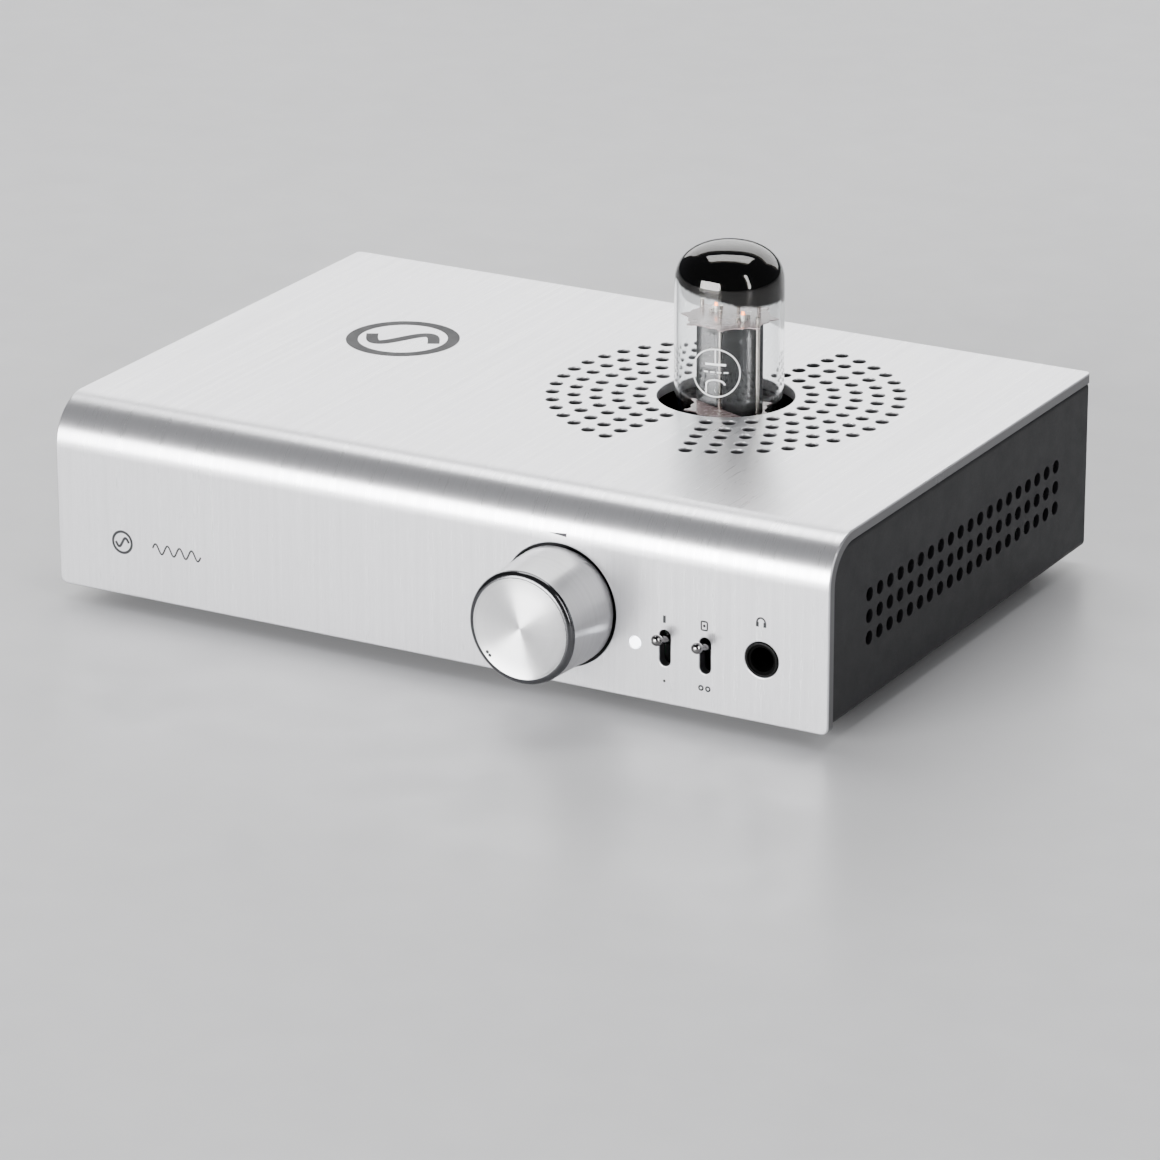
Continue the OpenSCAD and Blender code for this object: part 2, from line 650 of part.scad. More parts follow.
module card_slot_plate() {
    color("dimgray") difference() {
        union() {
            block([64, rear_y, 8], [110, rear_y + 1.2, 36]);
            block([72.3, panel_y - 6, 12.3], [101.7, rear_y + EPS, 13.5]);
        }
        for (x = card_screws) rod_y(1.6, rear_y - 1, rear_y + 2, x, 22);
    }
}

// Mains wiring from the inlet's tags to the switch, and on to the board, with the earth wire.
module mains_leads() {
    tag = [inlet_x, rear_y - 20.4, inlet_z];
    color("saddlebrown") wire(bow(tag + [7, 0, 0], [0, -9, 0], [0, -9, 0], [rocker_x - 6, rear_y - 24, rocker_z]), 1);
    color("saddlebrown") wire(bow([rocker_x, rear_y - 24, rocker_z], [0, -8, 0], [0, 0, 9], [-70, 122, parts_z + 8]), 1);
    color("blue") wire(bow(tag + [-7, 0, 0], [0, -9, 0], [0, 0, 9], [-76, 122, parts_z + 8]), 1);
    color("green") wire(bow(tag + [0, 0, 6], [0, -10, 3], [-6, -4, 0], [-106, 120, 36]), 1);
    color("ivory") block([-80, 118, parts_z], [-66, 126, parts_z + 8]);
}

// ---- power transformer ----

module toroid_core() {
    z = floor_z + 1.5 + 4;
    color("dimgray") translate([toroid_x, toroid_y, 0]) difference() {
        rod_z(toroid_r - 6, z, z + toroid_h - 8, 0, 0, 96);
        rod_z(toroid_hole_r + 6, z - 1, z + toroid_h, 0, 0, 96);
    }
}

module toroid_winding() {
    z = floor_z + 1.5;
    e = 5;
    corner = function (r, s, a0) [for (a = [0:15:90]) [r + s * e * cos(a), a0 ? e - e * sin(a) : toroid_h - e + e * sin(a)]];
    outer = concat([for (a = [90:-15:0]) [toroid_r - e + e * cos(a), e - e * sin(a)]],
                   [for (a = [0:15:90]) [toroid_r - e + e * cos(a), toroid_h - e + e * sin(a)]]);
    inner = concat([for (a = [90:-15:0]) [toroid_hole_r + e - e * cos(a), toroid_h - e + e * sin(a)]],
                   [for (a = [0:15:90]) [toroid_hole_r + e - e * cos(a), e - e * sin(a)]]);
    color("orange") translate([toroid_x, toroid_y, z]) difference() {
        rotate_extrude($fn = 96) polygon(concat(outer, inner));
        difference() {
            rod_z(toroid_r - 5.9, 3.9, toroid_h - 3.9, 0, 0, 96);
            rod_z(toroid_hole_r + 5.9, 0, toroid_h, 0, 0, 96);
        }
    }
}

module toroid_pads() {
    color([0.1, 0.1, 0.1]) for (z = [floor_z, floor_z + 1.5 + toroid_h])
        translate([toroid_x, toroid_y, 0]) difference() {
            rod_z(36, z, z + 1.5, 0, 0, 96);
            rod_z(8, z - 1, z + 3, 0, 0);
        }
}

module toroid_dish() {
    z = floor_z + 3 + toroid_h;
    color("silver") translate([toroid_x, toroid_y, z]) rotate_extrude($fn = 96)
        polygon([[2.6, EPS], [31, EPS], [32, 1.2], [15, 1.2], [11.5, 1], [2.6, 1]]);
}

module toroid_bolt() {
    z = floor_z + 4 + toroid_h;
    color("silver") {
        rod_z(2.5, tray_z - 0.3, z + 0.1, toroid_x, toroid_y);
        rod_z(4.6, z, z + 3, toroid_x, toroid_y, 6);
    }
}

module toroid_leads() {
    colours = ["red", "black", "blue", "yellow"];
    for (i = [0:3]) color(colours[i])
        wire(bow([toroid_x + 4 + i * 5, toroid_y + sqrt(toroid_r^2 - (4 + i * 5)^2) + 1.2, floor_z + 12], [0, 7, 6],
                 [0, 0, 10], [toroid_x + 2 + i * 5, 106, parts_z + 6.2], 10), 0.9);
    color("white") block([toroid_x - 1, 103, parts_z], [toroid_x + 20, 109, parts_z + 6]);
}

// ---- parts on the board ----

module filter_capacitors() {
    h = 35;
    color([0.1, 0.12, 0.2]) for (p = cap_spots) translate([p[0], p[1], parts_z]) rotate_extrude($fn = 64)
        polygon([[0, 0], [8.4, 0], [9, 0.6], [9, 2.4], [8.6, 2.9], [8.6, 3.4], [9, 3.9], [9, h - 0.8],
                 [8.6, h - 0.2], [8.2, h], [7.4, h - 0.4], [0, h - 0.4]]);
}

module film_capacitors() {
    color("firebrick") for (p = film_spots) block([p[0] - 9, p[1] - 4.5, parts_z], [p[0] + 9, p[1] + 4.5, parts_z + 16]);
}

module relays() {
    color("darkorange") for (p = relay_spots) block([p[0] - 10, p[1] - 5, parts_z], [p[0] + 10, p[1] + 5, parts_z + 11]);
}

module output_heatsink() {
    color("black") difference() {
        union() {
            block([90, 42, parts_z], [92.6, 124, 40]);
            for (y = [42:4.1:124]) block([92.5, y, parts_z], [106, y + 1.4, 40]);
        }
        for (y = transistor_spots) translate([89, y, 28]) rotate([0, 90, 0]) cylinder(r = 1.6, h = 5, $fn = 24);
    }
}

module output_transistors() {
    for (y = transistor_spots) {
        color([0.1, 0.1, 0.1]) difference() {
            block([85.5, y - 5, 13], [90, y + 5, 23]);
        }
        color("silver") difference() {
            block([88.6, y - 5, 23 + EPS], [90, y + 5, 31]);
            translate([88, y, 28]) rotate([0, 90, 0]) cylinder(r = 1.8, h = 4, $fn = 24);
        }
        color("silver") for (s = [-2.54, 0, 2.54]) block([87, y + s - 0.35, parts_z + EPS], [87.6, y + s + 0.35, 13 - EPS]);
        color("silver") translate([86.9, y, 28]) rotate([0, 90, 0]) {
            cylinder(r = 1.5, h = 6.5, $fn = 24);
            cylinder(r = 2.7, h = 1.7, $fn = 32);
        }
    }
}

// ---- tube and socket ----

module tube_place() {
    translate([tube_x + socket_off[0], tube_y + socket_off[1], 0]) rotate([0, 0, tube_turn]) children();
}

module octal(r, z0, z1) {
    for (i = [0:7]) rotate([0, 0, 22.5 + 45 * i]) rod_z(r, z0, z1, pin_ring, 0, 32);
}

module tube_socket() {
    color("ivory") tube_place() difference() {
        union() {
            rod_z(13.2, parts_z + 1, seat_z, 0, 0, 96);
            rod_z(15.4, parts_z + 1, parts_z + 4, 0, 0, 96);
        }
        rod_z(4.3, parts_z, seat_z + 1);
        octal(1.65, parts_z, seat_z + 1);
        block([0, -0.9, parts_z], [5.2, 0.9, seat_z + 1]);
    }
}

// Split spring sleeves that hold the pins, with tails through the board.
module socket_contacts() {
    color("gold") tube_place() difference() {
        union() {
            octal(1.6, parts_z + 3, seat_z - 0.5);
            octal(0.6, parts_z + EPS, parts_z + 3.01);
        }
        octal(pin_r + slide_gap, parts_z + 4, seat_z + 1);
    }
}

module tube_base() {
    color([0.1, 0.08, 0.07]) tube_place() difference() {
        union() {
            translate([0, 0, seat_z]) rotate_extrude($fn = 96)
                polygon([[0, 0], [14.4, 0], [15.2, 0.8], [base_r, 3], [base_r, base_h - 1],
                         [base_r - 0.4, base_h], [base_r - 1.2, base_h - 0.3], [0, base_h - 0.3]]);
            rod_z(3.95, seat_z - 13.4, seat_z + 1, 0, 0);
            block([0, -0.7, seat_z - 12], [4.9, 0.7, seat_z + 1]);
        }
        rod_z(bulb_r - 1.9, seat_z + 3, seat_z + base_h + 1, 0, 0, 96);
        octal(pin_r, seat_z - 1, seat_z + 4);
        rod_z(2.6, seat_z - 12, seat_z + 4);
    }
}

module tube_pins() {
    color("silver") tube_place() octal(pin_r, seat_z - pin_l, seat_z + 4);
}

// Outline of the bulb at a distance inside its outer face: a neck, straight sides and a dome
// that is squarer than half an ellipse.
function bulb_outline(inset, low) = concat(
    [[0, low], [bulb_r - 3 - inset, low], [bulb_r - 2 - inset, low + 1],
     [bulb_r - 2 - inset, low + 12], [bulb_r - 1.55 - inset, low + 15.8],
     [bulb_r - 1.05 - inset, low + 17.8], [bulb_r - 0.2 - inset, low + 22.2], [bulb_r - inset, low + 25.5]],
    [for (a = [0:7.5:82.5]) [(bulb_r - inset) * pow(cos(a), 2 / 2.4),
                             bulb_top - dome_h + (dome_h - inset) * pow(sin(a), 2 / 2.4)]],
    [[0, bulb_top - inset]]);

module tube_bulb() {
    low = seat_z + 6;
    color([0.9, 0.95, 1, 0.3]) tube_place() difference() {
        rotate_extrude($fn = 128) polygon(bulb_outline(0, low));
        rotate_extrude($fn = 128) polygon(bulb_outline(bulb_wall, low + bulb_wall));
        rod_z(2.2, low - 1, low + 3);
    }
}

// The glass foot that the electrodes' wires come through, and the sealed exhaust pipe under it.
module tube_stem() {
    z = seat_z + 7.2;
    color([0.85, 0.9, 0.95, 0.4]) tube_place() {
        rotate_extrude($fn = 64) polygon([[0, z - 4.4], [1.1, z - 3.4], [2, z], [9, z], [9, z + 1],
                                          [4.5, z + 4], [4, z + 13], [0, z + 13]]);
    }
}

// One flattened box round a grid and cathode, with a seam flange on each narrow side.
module anode_box(x) {
    z0 = mica_low + mica_t + 0.2;
    z1 = mica_high - 0.2;
    difference() {
        union() {
            block([x - anode_w / 2, -anode_d / 2, z0], [x + anode_w / 2, anode_d / 2, z1]);
            for (s = [-1, 1]) block([x - 0.25, s * (anode_d / 2 + 0.2) - 0.5, z0], [x + 0.25, s * (anode_d / 2 + 0.2) + 0.5, z1]);
            for (z = [z0 + 6, z1 - 8]) block([x - anode_w / 2 - 0.4, -2.5, z], [x + anode_w / 2 + 0.4, 2.5, z + 1.2]);
        }
        block([x - anode_w / 2 + 0.5, -anode_d / 2 + 0.5, z0 - 1], [x + anode_w / 2 - 0.5, anode_d / 2 - 0.5, z1 + 1]);
    }
}

module anode_plates() {
    color([0.22, 0.22, 0.23]) tube_place() for (s = [-1, 1]) anode_box(s * triode_x);
}

module cathodes() {
    color("gainsboro") tube_place() for (s = [-1, 1]) difference() {
        rod_z(0.9, mica_low - 1.6, mica_high + 2, s * triode_x, 0, 24);
        rod_z(0.5, mica_low + 1, mica_high + 3, s * triode_x, 0, 24);
    }
}

// A disc with a pointed rim. Its teeth reach this far from the tube's axis.
module mica_outline(reach) {
    teeth = 12;
    polygon([for (i = [0:4 * teeth - 1])
        let (a = 90 * i / teeth, r = i % 4 == 0 ? reach : i % 4 == 2 ? reach - 1.75 : reach - 1.25)
        [r * cos(a), r * sin(a)]]);
}

// Thin discs that brace the electrodes against the glass, the lower one where it narrows.
module mica_spacers() {
    color([0.85, 0.82, 0.78]) tube_place() for (p = [[mica_low, 12.3], [mica_high, 13.35]]) difference() {
        z = p[0];
        translate([0, 0, z]) linear_extrude(mica_t) mica_outline(p[1]);
        for (s = [-1, 1]) {
            rod_z(0.95, z - 1, z + 1, s * triode_x, 0, 24);
            for (k = [-1, 1]) rod_z(0.5, z - 1, z + 1, s * triode_x, k * grid_y, 16);
            rod_z(0.6, z - 1, z + 1, s * end_post_x, 0, 16);
            rod_z(0.5, z - 1, z + 1, 0, s * mid_post_y, 16);
        }
        rod_z(0.6, z - 1, z + 1, 0, 10.6, 16);
    }
}

// Rods that carry the anodes and grids from the glass foot to just above the upper mica.
module support_rods() {
    foot = seat_z + 21.4;
    color("silver") tube_place() {
        for (s = [-1, 1]) {
            for (k = [-1, 1]) rod_z(0.45, foot + 3, mica_high + 1.5, s * triode_x, k * grid_y, 16);
            rod_z(0.55, foot + 1, mica_high + 2.5, s * end_post_x, 0, 16);
            rod_z(0.45, foot + 1, mica_high + 2.5, 0, s * mid_post_y, 16);
        }
        rod_z(0.55, mica_low - 1, bulb_top - 11.5, 0, 10.6, 16);
    }
}

// The getter: a channel ring held over the mica by a strap to the longest rod.
module getter() {
    z = bulb_top - 11.5;
    color("silver") tube_place() {
        rotate_extrude($fn = 64) translate([5, z + 1, 0]) difference() {
            square([2, 1.2], center = true);
            translate([0, 0.4]) square([1.2, 1], center = true);
        }
        block([-0.6, 5.6, z + 0.1], [0.6, 11.1, z + 0.5]);
    }
}

// ---- the assembly ----
place() cover();
place() cover_studs();
place() cover_stud_nuts();
place() rear_rail();
place() panel_screws();
place() chassis_tray();
place() rear_panel();
place() feet();
place() main_board();
place() board_standoffs();
place() board_screws();
place() volume_knob();
place() knob_grub_screw();
place() pot_shaft();
place() pot_rotor();
place() pot_case();
place() pot_nut();
place() gain_switch_body();
place() gain_lever();
place() input_switch_body();
place() input_lever();
place() status_lamp();
place() headphone_jack();
place() jack_contacts();
place() mains_inlet();
place() inlet_pins();
place() fuse_drawer();
place() fuse();
place() power_switch_body();
place() power_rocker();
place() phono_housings();
place() phono_shells();
place() phono_insulators_left();
place() phono_insulators_right();
place() phono_contacts();
place() card_slot_plate();
place() mains_leads();
place() toroid_core();
place() toroid_winding();
place() toroid_pads();
place() toroid_dish();
place() toroid_bolt();
place() toroid_leads();
place() filter_capacitors();
place() film_capacitors();
place() relays();
place() output_heatsink();
place() output_transistors();
place() tube_socket();
place() socket_contacts();
place() tube_base();
place() tube_pins();
place() tube_bulb();
place() tube_stem();
place() anode_plates();
place() cathodes();
place() mica_spacers();
place() support_rods();
place() getter();
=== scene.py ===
# A tube headphone amplifier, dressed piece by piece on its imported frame, from the tray upwards.
import bpy
import numpy as np
from mathutils import Matrix, Vector, geometry


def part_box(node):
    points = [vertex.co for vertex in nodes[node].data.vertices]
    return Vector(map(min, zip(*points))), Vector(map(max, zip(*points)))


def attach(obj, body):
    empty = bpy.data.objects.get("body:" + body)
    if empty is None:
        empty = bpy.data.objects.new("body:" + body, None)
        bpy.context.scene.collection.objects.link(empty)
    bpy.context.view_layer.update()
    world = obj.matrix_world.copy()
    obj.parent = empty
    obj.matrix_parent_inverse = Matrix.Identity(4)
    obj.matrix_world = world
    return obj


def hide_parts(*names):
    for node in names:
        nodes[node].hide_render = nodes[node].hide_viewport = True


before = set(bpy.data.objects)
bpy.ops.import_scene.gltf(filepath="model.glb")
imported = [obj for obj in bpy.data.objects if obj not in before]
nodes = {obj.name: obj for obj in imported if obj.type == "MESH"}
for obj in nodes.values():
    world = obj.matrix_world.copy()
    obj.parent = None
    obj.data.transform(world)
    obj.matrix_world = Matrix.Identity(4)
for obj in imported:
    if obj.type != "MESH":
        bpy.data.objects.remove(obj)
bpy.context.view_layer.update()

# ---- camera: a long lens that looks down on the front's right-hand end ----
azimuth, elevation, roll = np.radians([29.346, 20.310, -0.168])
looks_at = np.array([0.0014, 0.00415, 0.0004])
stands_off = 1.5273
camera_back = np.array([np.sin(azimuth) * np.cos(elevation),
                        -np.cos(azimuth) * np.cos(elevation),
                        np.sin(elevation)])
camera_right = np.cross([0, 0, 1], camera_back)
camera_right /= np.linalg.norm(camera_right)
camera_up = np.cross(camera_back, camera_right)
level = np.array([camera_right, camera_up])
turn = np.array([[np.cos(roll), np.sin(roll)], [-np.sin(roll), np.cos(roll)]])
camera_right, camera_up = turn @ level
camera_data = bpy.data.cameras.new("camera")
camera_data.lens, camera_data.sensor_width = 177.06, 36
camera_data.clip_start, camera_data.clip_end = 0.05, 30
camera = bpy.data.objects.new("camera", camera_data)
bpy.context.scene.collection.objects.link(camera)
camera_place = np.eye(4)
camera_place[:3, :3] = np.stack([camera_right, camera_up, camera_back], 1)
camera_place[:3, 3] = looks_at + stands_off * camera_back
camera.matrix_world = Matrix(camera_place.tolist())
bpy.context.scene.camera = camera


# ---- steel tray ----
# The tray is one sheet of steel, folded up at both sides and over into flanges, punched with
# side vents, and sprayed dark grey. Its paint is satin with a very fine orange peel.
def plain_group(name, inputs, outputs):
    """An empty node group with named sockets. Each input is a name, a kind and a value."""
    group = bpy.data.node_groups.new(name, "ShaderNodeTree")
    for socket, kind, value in inputs:
        made = group.interface.new_socket(name=socket, in_out="INPUT", socket_type="NodeSocket" + kind)
        if value is not None:
            made.default_value = value
    for socket, kind in outputs:
        group.interface.new_socket(name=socket, in_out="OUTPUT", socket_type="NodeSocket" + kind)
    return group, group.nodes.new("NodeGroupInput"), group.nodes.new("NodeGroupOutput")


def add(tree, kind, values=None, **settings):
    """Adds one node, with its own settings, and its sockets given as values or as links."""
    made = tree.nodes.new("ShaderNode" + kind)
    for key, value in settings.items():
        setattr(made, key, value)
    for socket, value in (values or {}).items():
        if isinstance(value, bpy.types.NodeSocket):
            tree.links.new(value, made.inputs[socket])
        else:
            made.inputs[socket].default_value = value
    return made


def surface_grain():
    """Fine grain over broad patches. Two noises, one at the grain's size and one twelve times
    broader, are mixed into a shade, a roughness between two limits, and a height."""
    group, given, result = plain_group(
        "surface grain",
        [("Vector", "Vector", None), ("Grains per metre", "Float", 2000.0),
         ("Base", "Color", (0.5, 0.5, 0.5, 1)), ("Tint", "Color", (0.4, 0.4, 0.4, 1)),
         ("Smoothest", "Float", 0.3), ("Roughest", "Float", 0.5)],
        [("Color", "Color"), ("Roughness", "Float"), ("Height", "Float")])
    place, grains = given.outputs["Vector"], given.outputs["Grains per metre"]
    fine = add(group, "TexNoise", {"Vector": place, "Scale": grains, "Detail": 3.0, "Roughness": 0.6})
    patches = add(group, "Math", {0: grains, 1: 0.083}, operation="MULTIPLY")
    broad = add(group, "TexNoise", {"Vector": place, "Scale": patches.outputs[0], "Detail": 4.0})
    both = add(group, "Math", {0: fine.outputs["Fac"], 1: broad.outputs["Fac"]}, operation="ADD")
    shade = add(group, "MapRange", {"Value": both.outputs[0], "From Min": 0.7, "From Max": 1.3})
    colour = add(group, "Mix", {"Factor": shade.outputs[0]}, data_type="RGBA")
    group.links.new(given.outputs["Base"], colour.inputs[6])
    group.links.new(given.outputs["Tint"], colour.inputs[7])
    rough = add(group, "MapRange", {"Value": both.outputs[0], "From Min": 0.7, "From Max": 1.3,
                                    "To Min": given.outputs["Smoothest"],
                                    "To Max": given.outputs["Roughest"]})
    group.links.new(colour.outputs[2], result.inputs["Color"])
    group.links.new(rough.outputs[0], result.inputs["Roughness"])
    group.links.new(fine.outputs["Fac"], result.inputs["Height"])
    return group


grain = surface_grain()


def finish(name, base, tint, smoothest, roughest, grains, stretch=(1, 1, 1), relief=0.00001,
           uv=False, **constants):
    """A material whose colour, roughness and relief in metres come from the surface grain. stretch
    pulls the grain along an axis; constants are set on the shader's own sockets."""
    material = bpy.data.materials.new(name)
    material.use_nodes = True
    tree = material.node_tree
    shader = tree.nodes["Principled BSDF"]
    for socket, value in constants.items():
        shader.inputs[socket.replace("_", " ")].default_value = value
    place = add(tree, "TexCoord")
    mapped = add(tree, "Mapping", {"Vector": place.outputs["UV" if uv else "Object"], "Scale": stretch})
    look = add(tree, "Group", {"Vector": mapped.outputs[0], "Grains per metre": grains,
                               "Base": (*base, 1), "Tint": (*tint, 1),
                               "Smoothest": smoothest, "Roughest": roughest}, node_tree=grain)
    tree.links.new(look.outputs["Color"], shader.inputs["Base Color"])
    tree.links.new(look.outputs["Roughness"], shader.inputs["Roughness"])
    bump = add(tree, "Bump", {"Height": look.outputs["Height"], "Distance": relief, "Strength": 0.6})
    tree.links.new(bump.outputs[0], shader.inputs["Normal"])
    return material


def dress(material, *names):
    """Gives these CAD nodes one material."""
    for name in names:
        slots = nodes[name].data.materials
        slots.clear()
        slots.append(material)


grey_paint = finish("grey satin paint", (0.012, 0.012, 0.0135), (0.017, 0.017, 0.019), 0.42, 0.54,
                    2600, relief=0.00003, Specular_IOR_Level=0.24)
dress(grey_paint, "chassis_tray", "rear_panel", "card_slot_plate")

# ---- feet, nuts, screws and standoffs ----
# Rubber bumpers are stuck under the tray. The standoffs are zinc-plated hexagons, and the
# fixing screws at the rear have a black oxide coat.
rubber = finish("black rubber", (0.018, 0.018, 0.018), (0.03, 0.03, 0.03), 0.6, 0.85, 3000,
                relief=0.00003)
dress(rubber, "feet", "toroid_pads")
zinc = finish("zinc plate", (0.62, 0.62, 0.60), (0.50, 0.51, 0.52), 0.22, 0.42, 1500,
              relief=0.000004, Metallic=1.0)
dress(zinc, "cover_studs", "cover_stud_nuts", "board_standoffs", "board_screws", "pot_nut", "toroid_dish",
      "toroid_bolt")
milled = finish("milled rail", (0.66, 0.66, 0.67), (0.56, 0.56, 0.58), 0.25, 0.42, 2400, (0.05, 1, 1),
                0.000004, Metallic=1.0)
dress(milled, "rear_rail")
oxide = finish("black oxide", (0.03, 0.03, 0.032), (0.06, 0.06, 0.06), 0.28, 0.5, 1800, relief=0.000006,
               Metallic=0.8)
dress(oxide, "panel_screws", "knob_grub_screw")

# ---- circuit board and what stands on it ----
# Green solder mask over glass cloth, aluminium capacitors in shrunk sleeves, potted film
# capacitors, sealed relays, and a black anodised heatsink with the output transistors.
mask = finish("solder mask", (0.008, 0.075, 0.03), (0.012, 0.10, 0.04), 0.28, 0.45, 1400, Coat_Weight=0.3)
dress(mask, "main_board")
sleeve = finish("capacitor sleeve", (0.02, 0.028, 0.06), (0.03, 0.04, 0.08), 0.25, 0.4, 900)
dress(sleeve, "filter_capacitors")
dress(finish("red film box", (0.42, 0.045, 0.03), (0.48, 0.06, 0.04), 0.3, 0.45, 1200), "film_capacitors")
dress(finish("relay case", (0.62, 0.25, 0.05), (0.68, 0.30, 0.07), 0.25, 0.4, 1200), "relays")
anodise = finish("black anodise", (0.025, 0.025, 0.027), (0.04, 0.04, 0.042), 0.32, 0.48, 2400,
                 (1, 1, 0.08), 0.000006, Metallic=0.6)
dress(anodise, "output_heatsink")
black_nylon = finish("black nylon", (0.018, 0.018, 0.019), (0.027, 0.027, 0.028), 0.38, 0.58, 3200,
                     relief=0.00002)
dress(black_nylon, "mains_inlet", "fuse_drawer", "phono_housings", "gain_switch_body", "input_switch_body",
      "power_switch_body", "output_transistors")
gold = finish("gold plate", (0.86, 0.62, 0.28), (0.78, 0.55, 0.24), 0.14, 0.30, 1400, relief=0.000003,
              Metallic=1.0)
dress(gold, "jack_contacts", "phono_shells", "phono_contacts", "socket_contacts")
dress(finish("pot body", (0.03, 0.08, 0.18), (0.04, 0.10, 0.21), 0.35, 0.5, 1800), "pot_case")
dress(finish("phenolic rotor", (0.30, 0.19, 0.06), (0.24, 0.15, 0.05), 0.4, 0.6, 2000), "pot_rotor")
shaft_steel = finish("turned shaft", (0.56, 0.56, 0.56), (0.48, 0.48, 0.49), 0.2, 0.35, 3000,
                     relief=0.000003, Metallic=1.0)
dress(shaft_steel, "pot_shaft")

# ---- transformer and wiring ----
# A steel strip core under enamelled copper, clamped by a zinc dish and a bolt between rubber
# pads. Its leads and the mains wires have glossy PVC sheaths.
copper = finish("enamelled copper", (0.50, 0.20, 0.06), (0.36, 0.13, 0.04), 0.22, 0.4, 1600, (1, 1, 0.15),
                0.00003, Metallic=0.85)
dress(copper, "toroid_winding")
strip = finish("core strip", (0.30, 0.30, 0.31), (0.24, 0.24, 0.25), 0.3, 0.5, 1800, (0.1, 0.1, 1),
               0.000005, Metallic=1.0)
dress(strip, "toroid_core")
sheath = finish("lead sheath", (0.24, 0.10, 0.04), (0.30, 0.13, 0.05), 0.3, 0.42, 900)
dress(sheath, "toroid_leads", "mains_leads")

# ---- rear connectors ----
# Tinned blades in the mains inlet, a glass fuse in its drawer, a glossy rocker, and phono
# sockets with white and red insulators for the two channels.
tin = finish("bright tin", (0.70, 0.69, 0.66), (0.60, 0.59, 0.57), 0.18, 0.36, 1500, relief=0.000004,
             Metallic=1.0)
dress(tin, "inlet_pins", "tube_pins")
fuse_glass = finish("fuse glass", (0.72, 0.76, 0.76), (0.66, 0.70, 0.70), 0.06, 0.12, 500, relief=0.000001,
                    Coat_Weight=0.5)
dress(fuse_glass, "fuse")
rocker_gloss = finish("rocker gloss", (0.02, 0.02, 0.021), (0.027, 0.027, 0.028), 0.18, 0.30, 2200,
                      relief=0.000008, Coat_Weight=0.2)
dress(rocker_gloss, "power_rocker")
white = finish("white insulator", (0.78, 0.78, 0.75), (0.72, 0.72, 0.69), 0.25, 0.4, 1600, relief=0.000006)
dress(white, "phono_insulators_left")
red = finish("red insulator", (0.50, 0.02, 0.02), (0.42, 0.015, 0.015), 0.25, 0.4, 1600, relief=0.000006)
dress(red, "phono_insulators_right")


# ---- bent cover ----
# One sheet of 3 mm aluminium, bent over a round tool so that it is both front and top. It is
# punched, brushed along its length, up the front and back over the top, and clear anodised.
case_low, case_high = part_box("cover")
case_w = (case_high.x - case_low.x) * 1000
case_d = (case_high.y - case_low.y) * 1000
case_h = (case_high.z - case_low.z) * 1000
plate = 3.0
bend_r = 13.0
rise = case_h - bend_r                      # length up the front to the start of the bend
over = rise + bend_r * np.pi / 2            # length to the end of the bend
top_s = over - bend_r                       # added to a distance from the front, the length there
sheet_l = top_s + case_d
knob_x, knob_z, knob_hole_r = 38.0, 21.1, 16.4
lamp_x, lamp_hole_r = 59.9, 1.6
jack_x, jack_z, jack_hole_r = 95.7, 16.9, 4.7
lever_z, slot_w, slot_h = 15.0, 3.2, 9.7
tube_x, tube_y, tube_hole_r = 38.1, 89.5, 18.25
vent_r, first_arc_r, arc_step, arc_reach = 1.85, 22.85, 5.75, 75.2


def to_row(points):
    """Millimetres from the middle of the case, its front face and its lower edge, turned into the
    row's metres: each is divided by 1000 and moved to the cover's lowest corner."""
    origin = np.array([(case_low.x + case_high.x) / 2, case_low.y, case_low.z])
    return np.asarray(points, float) / 1000 + origin


def bent(flat, depth=0.0):
    """A point of the unrolled sheet on the bent one. flat holds x and the length s up the front and
    over the top. Round the bend the point turns by (s - rise) / bend radius about the bend's
    centre, at the bend radius less its depth. Also gives the outward and the lengthwise direction."""
    x, s = np.asarray(flat, float).T
    a = np.clip((s - rise) / bend_r, 0, np.pi / 2)
    r = bend_r - depth
    y = bend_r - r * np.cos(a) + np.maximum(s - over, 0)
    z = np.minimum(s, rise) + r * np.sin(a)
    nought = np.zeros_like(a)
    outward = np.stack([nought, -np.cos(a), np.sin(a)], 1)
    lengthwise = np.stack([nought, np.sin(a), np.cos(a)], 1)
    return np.stack([x, y, z], 1), outward, lengthwise


def make_piece(name, points, faces, material, body, corner_uv=None, normals=None, smooth=True,
               attribute=None):
    """Puts a surface given in case millimetres into a mesh that rides on a body."""
    mesh = bpy.data.meshes.new(name)
    mesh.from_pydata(to_row(points).tolist(), [], faces)
    mesh.polygons.foreach_set("use_smooth", np.full(len(mesh.polygons), smooth))
    if corner_uv is not None:
        mesh.uv_layers.new(name="UVMap").data.foreach_set("uv", np.asarray(corner_uv, np.float32).ravel())
    if attribute is not None:
        values = mesh.attributes.new(attribute[0], "FLOAT", "POINT").data
        values.foreach_set("value", np.asarray(attribute[1], np.float32))
    if normals is not None:
        mesh.normals_split_custom_set_from_vertices(np.asarray(normals, float).tolist())
    mesh.materials.append(material)
    piece = bpy.data.objects.new(name, mesh)
    bpy.context.scene.collection.objects.link(piece)
    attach(piece, body)
    return piece


def circle_loop(cx, cs, r, count):
    """A clockwise circle in the unrolled sheet, with the direction out of the metal at each point."""
    a = -2 * np.pi * np.arange(count) / count
    out = -np.stack([np.cos(a), np.sin(a)], 1)
    return np.array([cx, cs]) - r * out, out


def slot_loop(cx, cs, w, h, count=12):
    """A clockwise upright slot: two half circles whose centres are (h - w) / 2 above and below."""
    a = np.concatenate([np.linspace(np.pi, 0, count + 1), np.linspace(0, -np.pi, count + 1)])
    out = -np.stack([np.cos(a), np.sin(a)], 1)
    lift = np.repeat([(h - w) / 2, -(h - w) / 2], count + 1)
    return np.array([cx, cs]) - w / 2 * out + np.stack([np.zeros_like(lift), lift], 1), out


